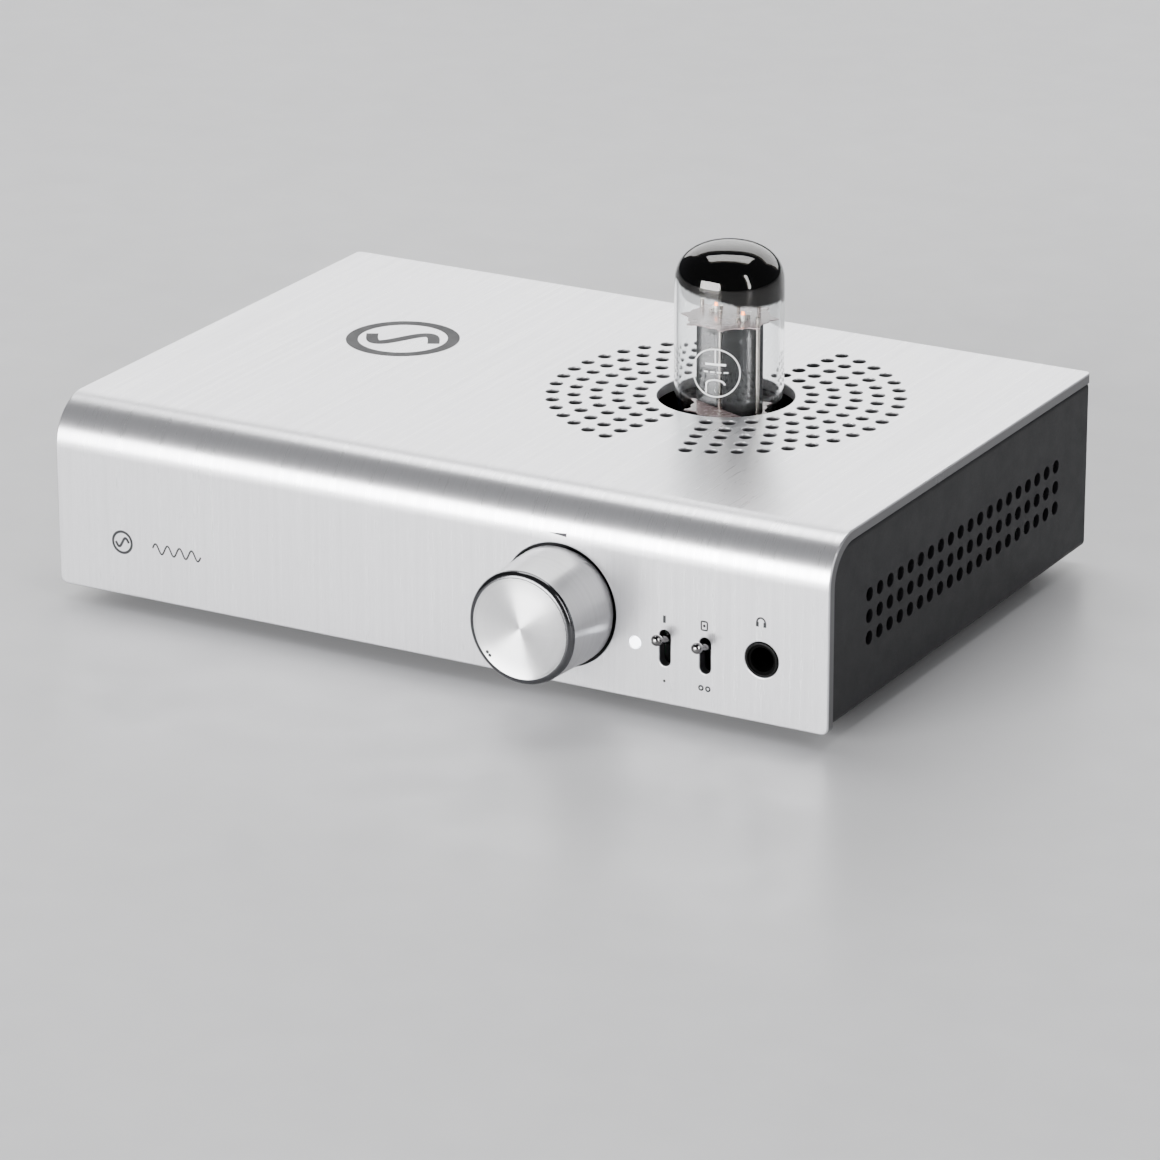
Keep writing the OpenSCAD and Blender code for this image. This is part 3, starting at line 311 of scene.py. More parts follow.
def sheet_outline(levels):
    """The sheet's edge, anticlockwise from the lower left, with its corners rounded by 2 mm below
    and 1.5 mm at the rear, and a point on each side at every level of the bend."""
    half, low_r, rear_r = case_w / 2, 2.0, 1.5
    points, outs = [], []
    for side, cs, r, start in ((1, low_r, low_r, -90), (1, sheet_l - rear_r, rear_r, 0),
                               (-1, sheet_l - rear_r, rear_r, 90), (-1, low_r, low_r, 180)):
        a = np.radians(np.linspace(start, start + 90, 7))
        out = np.stack([np.cos(a), np.sin(a)], 1)
        points.append(np.array([side * (half - r), cs]) + r * out)
        outs.append(out)
        if start in (-90, 90):
            marks = levels[::side]
            points.append(np.stack([np.full(len(marks), side * half), marks], 1))
            outs.append(np.tile([float(side), 0.0], (len(marks), 1)))
    return np.concatenate(points), np.concatenate(outs)


def punched_sheet(loops, fixed_edges, thickness):
    """The whole sheet. Each loop is carried down through the metal as a ring: its edge is rounded
    by c at the outer face, where the ring stands off by c times 1 - sin and sinks by c times
    1 - cos, then runs straight down to the inner face. Both faces are filled between the rings."""
    flat, depth, normal, faces, first, ring_of = [], [], [], [], [], []
    count = 0
    for number, (base, out, c, steps) in enumerate(loops):
        n = len(base)
        angles = np.linspace(0, np.pi / 2, steps + 1)
        rings = [(c * (1 - np.sin(a)), c * (1 - np.cos(a)), np.cos(a), np.sin(a)) for a in angles]
        rings += [(0.0, thickness - c / 2, 0.0, 1.0), (c / 2, thickness, -1.0, 0.0)]
        for k, (inset, sink, up, side) in enumerate(rings):
            flat.append(base - inset * out)
            depth.append(np.full(n, sink))
            normal.append(np.stack([np.full(n, up), side * out[:, 0], side * out[:, 1]], 1))
            if k:
                i = np.arange(n)
                j = (i + 1) % n
                a, b = count + (k - 1) * n, count + k * n
                faces.append(np.stack([a + i, b + i, b + j, a + j], 1))
        first.append((count, n, count + (len(rings) - 1) * n))
        ring_of += [number] * n
        count += len(rings) * n
    flat, depth, normal = np.concatenate(flat), np.concatenate(depth), np.concatenate(normal)
    outer = np.concatenate([np.arange(a, a + n) for a, n, _ in first])
    inner = np.concatenate([np.arange(b, b + n) for _, n, b in first])
    edges, start = [], 0
    for _, n, _ in first:
        edges += [(start + i, start + (i + 1) % n) for i in range(n)]
        start += n
    flat_points = [Vector(p) for p in flat[outer]]
    found = geometry.delaunay_2d_cdt(flat_points, edges + fixed_edges, [], 0, 1e-6, True)
    source = np.array([o[0] if o else -1 for o in found[3]])
    triangles = source[np.array(found[2])]
    ring_of = np.array(ring_of)
    rings = ring_of[triangles]
    keep = ~((rings[:, 0] == rings[:, 1]) & (rings[:, 1] == rings[:, 2]) & (rings[:, 0] > 0))
    triangles = triangles[keep & (triangles.min(1) >= 0)]
    corners = flat[outer][triangles]
    area = np.cross(corners[:, 1] - corners[:, 0], corners[:, 2] - corners[:, 0])
    triangles = np.where((area > 0)[:, None], triangles, triangles[:, ::-1])
    walls = np.concatenate(faces).tolist()
    return flat, depth, normal, walls + outer[triangles].tolist() + inner[triangles[:, ::-1]].tolist()


levels = np.concatenate([[rise], rise + bend_r * np.radians(np.arange(3.75, 90, 3.75)), [over]])
outline, outline_out = sheet_outline(levels)
loops = [(outline, outline_out, 0.45, 4)]
for x, z, r, count in ((knob_x, knob_z, knob_hole_r, 96), (lamp_x, lever_z, lamp_hole_r, 32),
                       (jack_x, jack_z, jack_hole_r, 64)):
    loops.append((*circle_loop(x, z, r, count), 0.3, 3))
for x in (68.4, 79.8):
    loops.append((*slot_loop(x, lever_z, slot_w, slot_h), 0.25, 3))
loops.append((*circle_loop(tube_x, tube_y + top_s, tube_hole_r, 96), 0.35, 3))
# Two fans of vents stand round the tube's hole, with two more vents in each wider arc.
for k in range(5):
    half = 5 + k
    r = first_arc_r + arc_step * k
    for side in (0, 180):
        for i in range(-half, half + 1):
            a = np.radians(side + i * arc_reach / half)
            x, s = tube_x + r * np.cos(a), tube_y + top_s + r * np.sin(a)
            loops.append((*circle_loop(x, s, vent_r, 20), 0.2, 2))
right_side = {round(s, 6): i for i, (x, s) in enumerate(outline) if x > 0}
left_side = {round(s, 6): i for i, (x, s) in enumerate(outline) if x < 0}
bend_lines = [(right_side[round(s, 6)], left_side[round(s, 6)]) for s in levels]
flat, depth, mixed, cover_faces = punched_sheet(loops, bend_lines, plate)
cover_at, cover_out, cover_along = bent(flat, depth)
across = np.array([[1.0, 0, 0]])
cover_normals = mixed[:, :1] * cover_out + mixed[:, 1:2] * across + mixed[:, 2:] * cover_along
corner_index = np.concatenate([np.asarray(f) for f in cover_faces])


def along_brushing(material):
    """Turns a material's anisotropy to lie along the piece's own texture map."""
    tree = material.node_tree
    tangent = add(tree, "Tangent", direction_type="UV_MAP", uv_map="UVMap")
    tree.links.new(tangent.outputs[0], tree.nodes["Principled BSDF"].inputs["Tangent"])
    return material


brushed = finish("brushed aluminium with painted hole shade", (0.87, 0.868, 0.892), (0.745, 0.743, 0.766), 0.26, 0.35, 1000,
                 (8, 0.14, 1), 0.000003, uv=True, Metallic=0.9, Anisotropic=0.5)
along_brushing(brushed)
# Painted shade in the holes, on the cut edges and on the inside: the brushed colour fades to a dark grey as
# the depth grows. The wall of the knob's hole is left bright, and the wall of the tube's hole takes half
# the painted shade.
tree = brushed.node_tree
colour_socket = tree.nodes["Principled BSDF"].inputs["Base Color"]
# Painted shade: a dark grey is mixed in as the depth goes from 0.25 to 0.7 mm.
depth_value = add(tree, "Attribute", attribute_name="depth").outputs["Fac"]
painted_shade_amount = add(tree, "MapRange", {"Value": depth_value, "From Min": 0.25, "From Max": 0.7})
painted_hole_shade = add(tree, "Mix", {"Factor": painted_shade_amount.outputs[0], 6: colour_socket.links[0].from_socket,
                             7: (0.16, 0.16, 0.165, 1)}, data_type="RGBA")
tree.links.new(painted_hole_shade.outputs[2], colour_socket)
by_knob = np.hypot(flat[:, 0] - knob_x, flat[:, 1] - knob_z) < knob_hole_r + 0.4
by_tube = np.hypot(flat[:, 0] - tube_x, flat[:, 1] - tube_y - top_s) < tube_hole_r + 0.5
painted_shade_depth = np.where(by_knob, 0, np.where(by_tube, np.minimum(depth, 0.45), depth))
# The attribute named depth carries how much painted shade each point takes.
cover = make_piece("brushed_cover", cover_at, cover_faces, brushed, "case", flat[corner_index] / 1000,
                   cover_normals, attribute=("depth", painted_shade_depth))
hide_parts("cover")

# ---- printed marks ----
# Thin dark ink, screened on the cover after anodising: a wave in a ring on the top, the same
# mark with a plain wave line on the front, and small symbols for the controls.
ink = finish("dark ink", (0.018, 0.018, 0.021), (0.028, 0.028, 0.031), 0.5, 0.65, 3000,
             relief=0.000002, Specular_IOR_Level=0.3)


def stroke(path, width, closed=False):
    """A line of constant width: each point is moved half the width to both sides of the path."""
    path = np.asarray(path, float)
    ahead = np.roll(path, -1, 0) - np.roll(path, 1, 0)
    if not closed:
        ahead[0], ahead[-1] = path[1] - path[0], path[-1] - path[-2]
    ahead /= np.linalg.norm(ahead, axis=1)[:, None]
    side = np.stack([-ahead[:, 1], ahead[:, 0]], 1) * width / 2
    n = len(path)
    i = np.arange(n if closed else n - 1)
    j = (i + 1) % n
    return np.concatenate([path + side, path - side]), np.stack([i + n, j + n, j, i], 1)


def arc(cx, cy, rx, ry, start, stop, count=48):
    """Part of an ellipse from one angle to another, in degrees."""
    a = np.radians(np.linspace(start, stop, count))
    return np.stack([cx + rx * np.cos(a), cy + ry * np.sin(a)], 1)


def circle(cx, cy, r, count=24):
    """A full turn of points round a centre, the first not repeated."""
    return arc(cx, cy, r, r, 0, 360 * (1 - 1 / count), count)


def disc(cx, cy, r, count=24):
    """A filled circle."""
    return circle(cx, cy, r, count), [range(count)]


def gather(parts):
    """Several shapes as one set of points and faces."""
    points, faces, count = [], [], 0
    for p, f in parts:
        points.append(p)
        faces += [(np.asarray(face) + count).tolist() for face in f]
        count += len(p)
    return np.concatenate(points), faces


def wave_mark(cx, cs, r, width):
    """One period of a sine inside a ring."""
    t = np.linspace(-1, 1, 49)
    wave = np.stack([cx + 0.62 * r * t, cs + 0.38 * r * np.sin(np.pi * t)], 1)
    return [stroke(circle(cx, cs, r - width / 2, 96), width, True), stroke(wave, width)]


top_mark_x, top_mark_y, front_mark_x, front_mark_z = -61.3, 89.8, -94.1, 14.8
marks = wave_mark(top_mark_x, top_mark_y + top_s, 15.5, 3.3)
marks += wave_mark(front_mark_x, front_mark_z, 3.3, 0.75)
line_x, line_l, line_h = -84.6, 15, 1.3
t = np.linspace(0, 4, 97)
line = np.stack([line_x + line_l * t / 4, front_mark_z + line_h * np.sin(2 * np.pi * t)], 1)
marks.append(stroke(line, 0.5))
# Over the knob stands a pointer, over and under the left lever a bar and a dot.
marks.append((np.array([[35.1, 40.05], [40.2, 39.55], [40.2, 40.55]]), [[0, 1, 2]]))
left_x = 68.3
marks.append(stroke([[left_x, 21.75], [left_x, 23.75]], 0.8))
marks.append(disc(left_x, 6.2, 0.38))
# Over and under the right lever stand a card and two rings.
card_x, card_z, card_r = 79.6, 23.0, 0.35
card_corners = [(0.5, 0.8, 0), (-0.5, 0.8, 90), (-0.5, -0.8, 180), (0.5, -0.8, 270)]
card = [arc(card_x + dx, card_z + dz, card_r, card_r, a, a + 90, 5) for dx, dz, a in card_corners]
marks += [stroke(np.concatenate(card), 0.46, True), disc(card_x, card_z, 0.4)]
rings_x, rings_z, ring_r, ring_shift = 79.7, 6.3, 0.56, 0.98
marks += [stroke(circle(rings_x + d, rings_z, ring_r), 0.5, True) for d in (-ring_shift, ring_shift)]
# Over the jack stand headphones: a band and two ear cups.
phones_x, phones_z, cup_shift = 95.5, 26.8, 1.05
marks.append(stroke(arc(phones_x, phones_z, 1.15, 1.2, -10, 190, 25), 0.48))
for d in (-cup_shift, cup_shift):
    marks.append(stroke([[phones_x + d, phones_z - 1.2], [phones_x + d, phones_z + 0.1]], 0.8))
mark_points, mark_faces = gather(marks)
mark_at, _, _ = bent(mark_points, -0.02)
printed = make_piece("cover_print", mark_at, mark_faces, ink, "case", smooth=False)

# ---- volume knob ----
# Turned from aluminium bar with a rounded, polished rim, its face spun in fine circles. Its rim is
# painted dark and its side painted darker than the face: painted dark reflection of dark surroundings.
# Two small dark dots on the face show the setting, and a grub screw holds the knob on its shaft.


def lathe(profile, segments=128):
    """A profile of radius and height pairs carried round the upright axis. Point (i, k) is at
    radius i times the cosine and sine of k turns, at height i, and a point on the axis is kept
    once. Corners get the turn and the length along the profile as their texture place."""
    profile = np.asarray(profile, float)
    length = np.concatenate([[0], np.cumsum(np.linalg.norm(np.diff(profile, axis=0), axis=1))]) / 1000
    a = 2 * np.pi * np.arange(segments) / segments
    points, start = [], []
    for r, h in profile:
        start.append(sum(len(p) for p in points))
        if r < 1e-6:
            points.append(np.array([[0, 0, h]]))
        else:
            points.append(np.stack([r * np.cos(a), r * np.sin(a), np.full(segments, h)], 1))
    faces, places = [], []
    k = np.arange(segments)
    for i in range(len(profile) - 1):
        low_pole, high_pole = profile[i, 0] < 1e-6, profile[i + 1, 0] < 1e-6
        b, c = start[i], start[i + 1]
        m = (k + 1) % segments
        u, w = k / segments, (k + 1) / segments
        v0, v1 = np.full(segments, length[i]), np.full(segments, length[i + 1])
        if low_pole:
            faces += np.stack([np.full(segments, b), c + m, c + k], 1).tolist()
            places.append(np.stack([(u + w) / 2, v0, w, v1, u, v1], 1).reshape(-1, 2))
        elif high_pole:
            faces += np.stack([b + k, b + m, np.full(segments, c)], 1).tolist()
            places.append(np.stack([u, v0, w, v0, (u + w) / 2, v1], 1).reshape(-1, 2))
        else:
            faces += np.stack([b + k, b + m, c + m, c + k], 1).tolist()
            places.append(np.stack([u, v0, w, v0, w, v1, u, v1], 1).reshape(-1, 2))
    return np.concatenate(points), faces, np.concatenate(places)


knob_r, knob_l, rim_r, knob_turns = 15.0, 20.0, 1.7, 160
# The profile goes from the shaft's hole over the back, the undercut and the skirt up the side,
# then round the rim and in over the face.
knob_profile = [(3.05, 6), (9.4, 6), (9.5, 5.9), (9.5, -1.4), (9.6, -1.5), (14.8, -1.5), (14.9, -1.4),
                (14.9, 0.0), (15.1, 0.1), (15.6, 0.15), (15.75, 0.3), (15.7, 3), (15.5, 6), (15.1, 15),
                (15.0, 17.5)]
for a in np.radians(np.arange(0, 91, 7.5)):
    knob_profile.append((knob_r + rim_r * (np.cos(a) - 1), knob_l + rim_r * (np.sin(a) - 1)))
knob_profile += [(13.0, 20.0), (12.85, 19.88), (12.75, 19.85), (9.0, 19.85), (6.0, 19.85), (3.0, 19.85),
                 (1.0, 19.85), (0.3, 19.8), (0, 19.78)]
knob_points, knob_faces, knob_uv = lathe(knob_profile, knob_turns)
knob_at = np.stack([knob_x + knob_points[:, 0], -knob_points[:, 2], knob_z + knob_points[:, 1]], 1)
spun = finish("spun aluminium", (0.84, 0.84, 0.85), (0.80, 0.80, 0.81), 0.31, 0.36, 1000, (0.004, 14, 1),
              0.0000008, uv=True, Metallic=1.0, Anisotropic=0.97, Anisotropic_Rotation=0.25)
knob = make_piece("spun_knob", knob_at, knob_faces, along_brushing(spun), "volume_control", knob_uv)
# The rim is the same aluminium, painted nearly black as a painted dark reflection.
polished = finish("rim painted dark", (0.14, 0.14, 0.145), (0.10, 0.10, 0.105), 0.16, 0.22, 1000, (0.01, 10, 1),
                  0.0000005, uv=True, Metallic=1.0)
knob.data.materials.append(polished)
# The side is the same aluminium, painted darker than the face as a painted dark reflection.
turned = finish("side painted darker", (0.62, 0.62, 0.63), (0.54, 0.54, 0.55), 0.30, 0.36, 1000, (0.01, 10, 1),
                0.0000008, uv=True, Metallic=1.0, Anisotropic=0.9, Anisotropic_Rotation=0.25)
knob.data.materials.append(along_brushing(turned))
# Each band of faces takes its finish from where it ends: the side painted darker, the rim painted dark, or
# the face.
bands = []
for r, h in knob_profile[1:]:
    side_painted_darker_band = 0.3 < h < 18.35 and r > 14.95
    rim_painted_dark_band = 13.15 < r < 15.01 and h > 18.2
    bands.append(2 if side_painted_darker_band else int(rim_painted_dark_band))
knob.data.polygons.foreach_set("material_index", np.repeat(bands, knob_turns).astype(np.int32))
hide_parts("volume_knob")
dot_turn, dot_reach, dot_r, dot_front = -132, 12.2, 0.48, 19.88
dot_pair = []
for d in (-2.5, 2.5):
    a = np.radians(dot_turn + d)
    dot_pair.append(disc(knob_x + dot_reach * np.sin(a), knob_z + dot_reach * np.cos(a), dot_r, 16))
dot_points, dot_faces = gather(dot_pair)
dot_at = np.stack([dot_points[:, 0], np.full(len(dot_points), -dot_front), dot_points[:, 1]], 1)
dots = make_piece("knob_dots", dot_at, dot_faces, ink, "volume_control", smooth=False)

# ---- toggles, lamp ----
# Chromed brass stems with round knobs on pivot balls, and a lamp of clear resin lit white.
# The chrome is painted far darker than real chrome, as a painted dark reflection.
chrome = finish("chrome painted dark", (0.25, 0.245, 0.245), (0.19, 0.185, 0.185), 0.05, 0.12, 900,
                relief=0.000001, Metallic=1.0)
dress(chrome, "gain_lever", "input_lever")
lit = finish("lit lamp", (0.95, 0.96, 1.0), (0.9, 0.92, 1.0), 0.2, 0.3, 800, relief=0.000001,
             Emission_Color=(0.92, 0.95, 1.0, 1), Emission_Strength=6.0)
dress(lit, "status_lamp")

# ---- headphone jack ----
# The jack's nose is moulded in matt nylon, set into the front flush with the plate. A glossy
# ring stands 0.25 mm proud round its mouth.
bead = [(4.3 + 0.25 * np.cos(a), -0.25 * np.sin(a)) for a in np.radians(np.arange(0, 91, 15))]
lip = [(4.05 + 0.12 * np.cos(a), -0.13 - 0.12 * np.sin(a)) for a in np.radians(np.arange(90, 181, 15))]
bezel_points, bezel_faces, _ = lathe([(4.55, 0.28)] + bead + lip + [(3.93, 0.28)], 96)
bezel_at = np.stack([jack_x + bezel_points[:, 0], bezel_points[:, 2], jack_z - bezel_points[:, 1]], 1)
glossy = finish("glossy black nylon", (0.003, 0.003, 0.003), (0.005, 0.005, 0.005), 0.16, 0.26, 2600,
                relief=0.000003, Specular_IOR_Level=0.1)
bezel = make_piece("jack_bezel", bezel_at, bezel_faces, glossy, "case")
matt = finish("matt black nylon", (0.0015, 0.0015, 0.0015), (0.0025, 0.0025, 0.0025), 0.6, 0.8, 3000,
              Specular_IOR_Level=0.02)
dress(matt, "headphone_jack")

# ---- tube socket and base ----
# A glazed ceramic socket on the board holds the tube's black phenolic base, and the glass is
# cemented into the base's rim.
ceramic = finish("glazed ceramic", (0.74, 0.72, 0.64), (0.68, 0.66, 0.59), 0.18, 0.32, 900,
                 relief=0.000006, Coat_Weight=0.4)
dress(ceramic, "tube_socket")
dress(finish("black phenolic", (0.022, 0.017, 0.014), (0.03, 0.024, 0.02), 0.22, 0.38, 1600), "tube_base")
tube_turn = np.radians(-21.0)
socket_x, socket_y = tube_x + 0.65, tube_y + 0.37


def on_tube(points):
    """Points round the tube's axis, turned by the tube's own turn and moved to its place."""
    x, y, z = np.asarray(points, float).T
    c, s = np.cos(tube_turn), np.sin(tube_turn)
    return np.stack([socket_x + c * x - s * y, socket_y + s * x + c * y, z], 1)


# ---- electrodes ----
# Two pairs of carbonised nickel boxes stand between two discs of mica on nickel rods, each
# round its own cathode, whose heater glows at the top.
mica_low, mica_high, triode_x, anode_w, anode_d = 47.4, 72.4, 5.35, 9.4, 6.8


def box_tube(cx, w, d, r, z0, z1):
    """A thin upright box with rounded corners. Going round by angle, a point lies on a rounded
    rectangle, and fine upright pleats push it in and out by 0.05 mm times a cosine."""
    spread = np.linspace(0, 1, 14)[1:-1]
    points, outs = [], []
    for quarter in range(4):
        bend = np.radians(np.linspace(90 * quarter, 90 * quarter + 90, 9))
        middle = np.array([(w / 2 - r) * (1, -1, -1, 1)[quarter], (d / 2 - r) * (1, 1, -1, -1)[quarter]])
        points.append(middle + r * np.stack([np.cos(bend), np.sin(bend)], 1))
        outs.append(np.stack([np.cos(bend), np.sin(bend)], 1))
    rim, pushes = [], []
    for quarter in range(4):
        here, after = points[quarter], points[(quarter + 1) % 4]
        rim.append(here)
        pushes.append(np.zeros((len(here), 2)))
        flat_run = here[-1] + (after[0] - here[-1]) * spread[:, None]
        rim.append(flat_run)
        pushes.append(0.05 * np.cos(np.pi * np.arange(len(spread)))[:, None] * outs[quarter][-1])
    ring = np.concatenate(rim) + np.concatenate(pushes)
    n = len(ring)
    k = np.arange(n)
    after = (k + 1) % n
    levels = np.linspace(z0, z1, 6)
    upright = np.concatenate([np.column_stack([ring + [cx, 0], np.full(n, z)]) for z in levels])
    band = np.stack([k, after, n + after, n + k], 1)
    return upright, np.concatenate([band + i * n for i in range(len(levels) - 1)])


def rods(places, r, z0, z1, count=12):
    """Round upright rods with flat ends, one for each x, y place."""
    a = 2 * np.pi * np.arange(count) / count
    k = np.arange(count)
    after = (k + 1) % count
    sides = np.stack([k, after, count + after, count + k], 1).tolist()
    faces = sides + [list(range(count))[::-1], list(range(count, 2 * count))]
    parts = []
    for x, y in places:
        ring = np.stack([x + r * np.cos(a), y + r * np.sin(a)], 1)
        ends = [np.column_stack([ring, np.full(count, z)]) for z in (z0, z1)]
        parts.append((np.concatenate(ends), faces))
    return gather(parts)


low, high = mica_low + 0.5, mica_high - 0.2
boxes = [box_tube(side * triode_x, anode_w, anode_d, 1.0, low, high) for side in (-1, 1)]
anode_points, anode_faces = gather(boxes)
carbon = finish("carbonised nickel", (0.007, 0.007, 0.007), (0.030, 0.030, 0.031), 0.5, 0.7, 1400,
                (1, 1, 0.05), 0.000005, Specular_IOR_Level=0.12)
anodes = make_piece("anode_boxes", on_tube(anode_points), anode_faces, carbon, "tube")
thick = anodes.modifiers.new("wall", "SOLIDIFY")
thick.thickness, thick.offset = 0.0003, -1
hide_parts("anode_plates")


def mica_disc(z, turn, reach):
    """A disc with pointed teeth that reach the glass: the radius is 2.4 mm less than the reach,
    plus 2.15 mm times a sharp peak at each of eight teeth, plus a small wave."""
    a = np.linspace(0, 2 * np.pi, 240, endpoint=False)
    peak = np.abs(np.cos(4 * (a - turn))) ** 14
    r = reach - 2.4 + 2.15 * peak + 0.25 * np.cos(16 * a)
    rim = np.stack([r * np.cos(a), r * np.sin(a)], 1)
    n = len(a)
    k = np.arange(n)
    after = (k + 1) % n
    top = z + 0.3
    flats = [np.column_stack([rim, np.full(n, level)]) for level in (z, top)]
    sides = np.stack([k, after, n + after, n + k], 1)
    low = np.stack([np.full(n, 2 * n), after, k], 1)
    high = np.stack([np.full(n, 2 * n + 1), n + k, n + after], 1)
    return np.concatenate(flats + [[[0, 0, z], [0, 0, top]]]), sides.tolist() + low.tolist() + high.tolist()


mica = finish("mica", (0.34, 0.26, 0.26), (0.24, 0.18, 0.18), 0.18, 0.36, 700, relief=0.000006,
              Transmission_Weight=0.25, Coat_Weight=0.3)
mica_points, mica_faces = gather([mica_disc(mica_low, 0.3, 12.3), mica_disc(mica_high, -0.12, 13.4)])
micas = make_piece("mica_discs", on_tube(mica_points), mica_faces, mica, "tube", smooth=False)
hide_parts("mica_spacers")
nickel = finish("nickel wire", (0.66, 0.61, 0.56), (0.52, 0.46, 0.42), 0.16, 0.30, 1400,
                relief=0.000002, Metallic=1.0)
dress(nickel, "support_rods", "getter")
sleeving = finish("cathode sleeve", (0.72, 0.69, 0.64), (0.62, 0.59, 0.55), 0.35, 0.55, 1800, Metallic=0.4)
dress(sleeving, "cathodes")
glow = finish("heater glow", (1.0, 0.35, 0.10), (1.0, 0.25, 0.06), 0.4, 0.6, 1500, relief=0.000001,
              Emission_Color=(1.0, 0.22, 0.03, 1), Emission_Strength=9.0)
tip_places = [(side * triode_x + d, 0) for side in (-1, 1) for d in (-0.22, 0.22)]
tip_points, tip_faces = rods(tip_places, 0.2, mica_high + 1.4, mica_high + 2.7)
tips = make_piece("heater_tips", on_tube(tip_points), tip_faces, glow, "tube")

# ---- bulb ----
# Blown glass a millimetre thick, drawn in where it enters the base. The inside of its dome is
# silvered by the fired getter, and a mark is printed in white on its side.
bulb_r, bulb_top, shoulder, glass_t = 14.5, 92.7, 11.2, 1.0
neck = [(12.5, 36.0), (12.5, 41.5), (12.62, 43.0), (12.95, 44.8), (13.45, 46.8), (13.95, 49.0),
        (14.3, 51.2), (14.46, 53.4), (14.5, 56.0), (14.5, 62.0), (14.5, 70.0)]


def dome(inset, steps=28):
    """The bulb's top: a quarter of a rounded square, where radius and height each follow the
    sine or cosine of an angle to the power 2 / 2.4. It ends on the axis."""
    a = np.linspace(0, np.pi / 2, steps)
    r = (bulb_r - inset) * np.cos(a).clip(0) ** (2 / 2.4)
    z = bulb_top - shoulder + (shoulder - inset) * np.sin(a) ** (2 / 2.4)
    return list(zip(r[:-1], z[:-1])) + [(0.0, z[-1])]


outside = neck + dome(0)
inside = [(r - glass_t, z) for r, z in neck] + dome(glass_t)
open_end = [(11.5, 35.2), (12.0, 35.0), (12.4, 35.3)]
bulb_points, bulb_faces, _ = lathe(inside[::-1] + open_end + outside)
glass = bpy.data.materials.new("clear glass")
glass.use_nodes = True
tree = glass.node_tree
shader = tree.nodes["Principled BSDF"]
shader.inputs["Transmission Weight"].default_value = 1.0
shader.inputs["IOR"].default_value = 1.5
place = add(tree, "TexCoord")
streaks = add(tree, "Group", {"Vector": place.outputs["Object"], "Grains per metre": 120.0,
                              "Base": (0.97, 0.98, 0.98, 1), "Tint": (0.94, 0.96, 0.96, 1),
                              "Smoothest": 0.0, "Roughest": 0.03}, node_tree=grain)
tree.links.new(streaks.outputs["Color"], shader.inputs["Base Color"])
tree.links.new(streaks.outputs["Roughness"], shader.inputs["Roughness"])
# Light that casts shadows passes straight through, so the glass hardly darkens what it holds.
clear = add(tree, "BsdfTransparent", {"Color": (0.93, 0.94, 0.94, 1)})
light_path = add(tree, "LightPath")
surface = add(tree, "MixShader", {0: light_path.outputs["Is Shadow Ray"], 1: shader.outputs[0],
                                  2: clear.outputs[0]})
tree.links.new(surface.outputs[0], tree.nodes["Material Output"].inputs["Surface"])
bulb = make_piece("glass_bulb", on_tube(bulb_points), bulb_faces, glass, "tube")
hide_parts("tube_bulb")
dress(glass, "tube_stem")

# The getter's mirror lies on the inner face of the glass, from the tip down to an uneven,
# fading edge. Its silver is painted nearly black, as a painted dark reflection of a dim room.
silver_inset = 0.92
silver_side = [(bulb_r - silver_inset, z) for z in np.arange(72.0, 81.4, 0.35)]
silver_points, silver_faces, _ = lathe(silver_side + dome(silver_inset))
around = np.arctan2(silver_points[:, 1], silver_points[:, 0])
edge = 80.2 + 2.9 * np.sin(around + 3.83) + 0.4 * np.sin(2 * around + 0.5) + 0.2 * np.sin(5 * around)
silvered = np.clip((silver_points[:, 2] - edge) / 2.0 + 0.5, 0, 1)
# Nearly black base colour on a mirror: painted dark reflection.
silver = finish("getter mirror painted dark", (0.022, 0.020, 0.018), (0.016, 0.015, 0.013), 0.02, 0.05, 300,
                relief=0.000001, Metallic=1.0)
tree = silver.node_tree
share = add(tree, "Attribute", attribute_name="silver")
place = add(tree, "TexCoord")
wisps = add(tree, "TexNoise", {"Vector": place.outputs["Object"], "Scale": 420.0, "Detail": 4.0})
both = add(tree, "Math", {0: wisps.outputs["Fac"], 1: -0.5}, operation="ADD")
spread = add(tree, "Math", {0: both.outputs[0], 1: 0.9, 2: share.outputs["Fac"]}, operation="MULTIPLY_ADD")
clean = add(tree, "MapRange", {"Value": spread.outputs[0], "From Min": 0.25, "From Max": 0.75},
            interpolation_type="SMOOTHSTEP")
whole = add(tree, "Math", {0: share.outputs["Fac"], 1: 0.98}, operation="GREATER_THAN")
alpha = add(tree, "Math", {0: clean.outputs[0], 1: whole.outputs[0]}, operation="MAXIMUM")
tree.links.new(alpha.outputs[0], tree.nodes["Principled BSDF"].inputs["Alpha"])
mirror = make_piece("getter_mirror", on_tube(silver_points), silver_faces, silver, "tube",
                    attribute=("silver", silvered))

# Cement fills the gap between the glass and the base's rim.
cement_profile = [(12.5, 39.7), (13.7, 39.7), (13.5, 40.0), (13.1, 40.25), (12.75, 40.6), (12.5, 41.1)]
cement_points, cement_faces, _ = lathe(cement_profile, 96)
mortar = finish("cement", (0.30, 0.27, 0.22), (0.24, 0.21, 0.17), 0.7, 0.9, 2200, relief=0.00008)
cement = make_piece("base_cement", on_tube(cement_points), cement_faces, mortar, "tube")

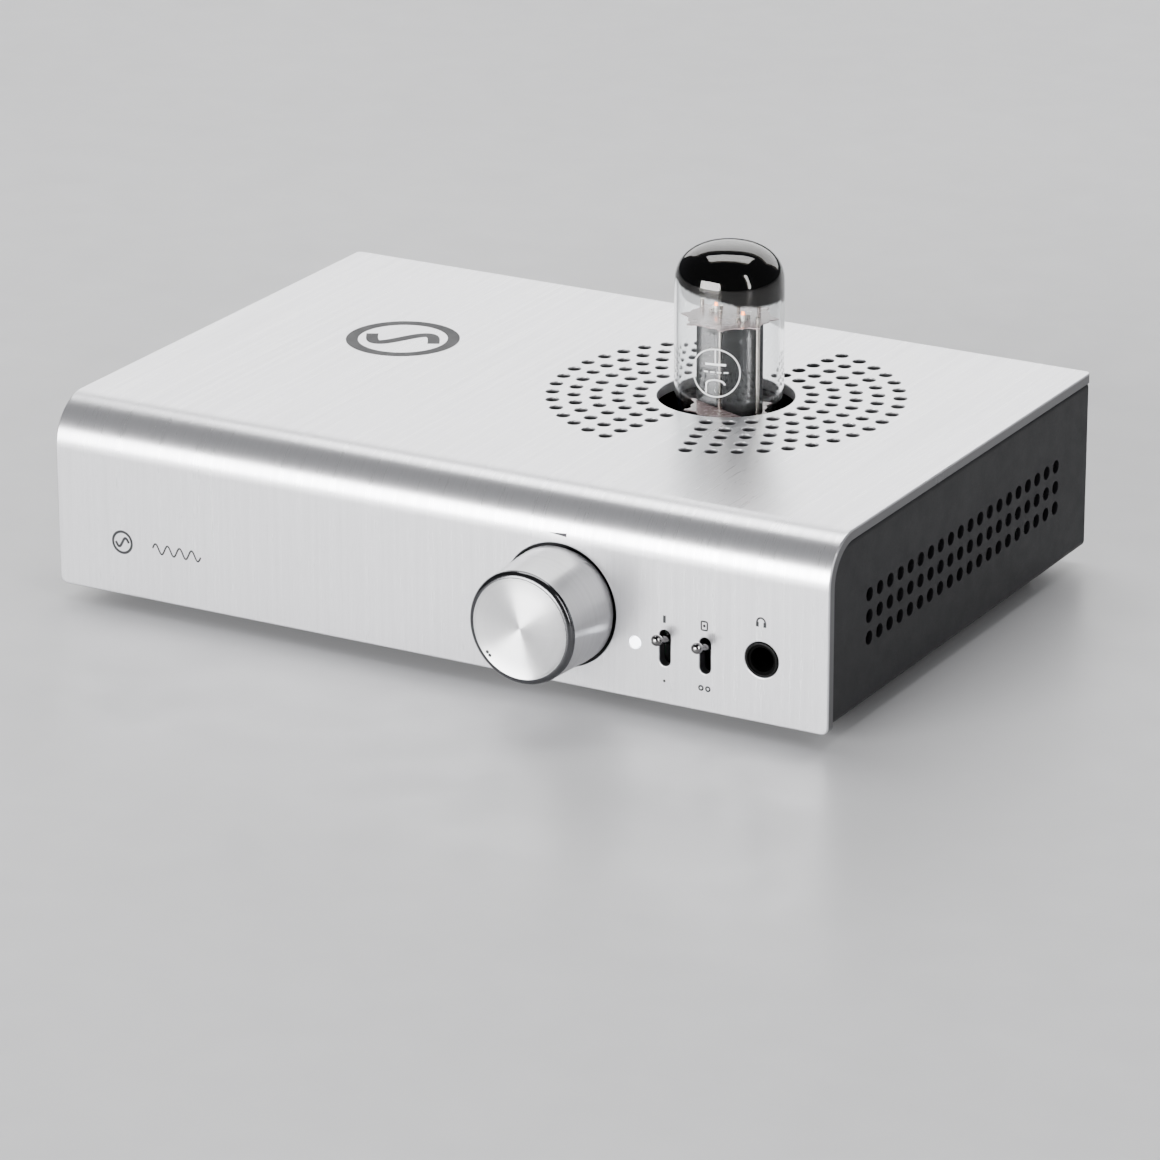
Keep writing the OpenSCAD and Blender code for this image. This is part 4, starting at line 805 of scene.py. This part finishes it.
# The printed mark: a ring round the usual drawing sign of a triode, in white. It has an anode
# with its lead, a dashed grid, and a bent cathode with its lead.
sign = [stroke(circle(0, 0, 6.5, 96), 0.4, True), stroke([[-2.8, 2.3], [2.8, 2.3]], 0.6)]
sign.append(stroke([[0, 2.3], [0, 6.3]], 0.42))
sign += [stroke([[x, 0.2], [x + 1.2, 0.2]], 0.45) for x in (-3.2, -1.4, 0.4, 2.2)]
sign += [stroke(arc(0, -3.2, 2.5, 1.3, 0, 180, 25), 0.48), stroke([[-2.5, -3.2], [-2.5, -5.6]], 0.42)]
sign_points, sign_faces = gather(sign)
sign_z, sign_r, sign_faces_to = 61.4, bulb_r + 0.02, np.radians(-76.5)
angle = sign_faces_to + sign_points[:, 0] / bulb_r
sign_at = np.stack([socket_x + sign_r * np.cos(angle), socket_y + sign_r * np.sin(angle),
                    sign_z + sign_points[:, 1]], 1)
paint = finish("white paint", (0.80, 0.80, 0.80), (0.70, 0.70, 0.70), 0.5, 0.7, 2600, relief=0.000003)
label = make_piece("bulb_print", sign_at, sign_faces, paint, "tube", smooth=False)

# ---- floor and lights ----
# A wide pale table in a dim room. One softbox behind and one overhead light the top, a large
# one lights the front, and a narrow strip draws a highlight from the right.
floor_mesh = bpy.data.meshes.new("floor")
floor_mesh.from_pydata([(-6, -6, 0), (6, -6, 0), (6, 6, 0), (-6, 6, 0)], [], [(0, 1, 2, 3)])
table = finish("pale floor", (0.50, 0.50, 0.51), (0.485, 0.485, 0.495), 0.35, 0.45, 60, relief=0.0000001)
floor_mesh.materials.append(table)
floor = bpy.data.objects.new("floor", floor_mesh)
bpy.context.scene.collection.objects.link(floor)
world = bpy.data.worlds.new("studio")
world.use_nodes = True
background = world.node_tree.nodes["Background"]
background.inputs["Color"].default_value = (0.9, 0.92, 1.0, 1)
background.inputs["Strength"].default_value = 0.09
bpy.context.scene.world = world
for name, place, aim, wide, tall, watts in (
        ("rear softbox", (-0.5, 1.7, 0.9), (0, 0, 0.03), 3.0, 1.3, 40),
        ("overhead softbox", (-0.2, 0.5, 1.4), (0, 0, 0.03), 1.3, 0.55, 18),
        ("front softbox", (-0.45, -1.95, 0.42), (0, 0, 0.03), 1.6, 0.8, 104),
        ("right strip", (1.45, -0.5, 0.75), (0, 0, 0.06), 0.16, 1.3, 9)):
    lamp = bpy.data.lights.new(name, "AREA")
    lamp.shape, lamp.size, lamp.size_y, lamp.energy = "RECTANGLE", wide, tall, watts
    made = bpy.data.objects.new(name, lamp)
    bpy.context.scene.collection.objects.link(made)
    made.location = place
    made.rotation_euler = (Vector(aim) - Vector(place)).to_track_quat("-Z", "Y").to_euler()
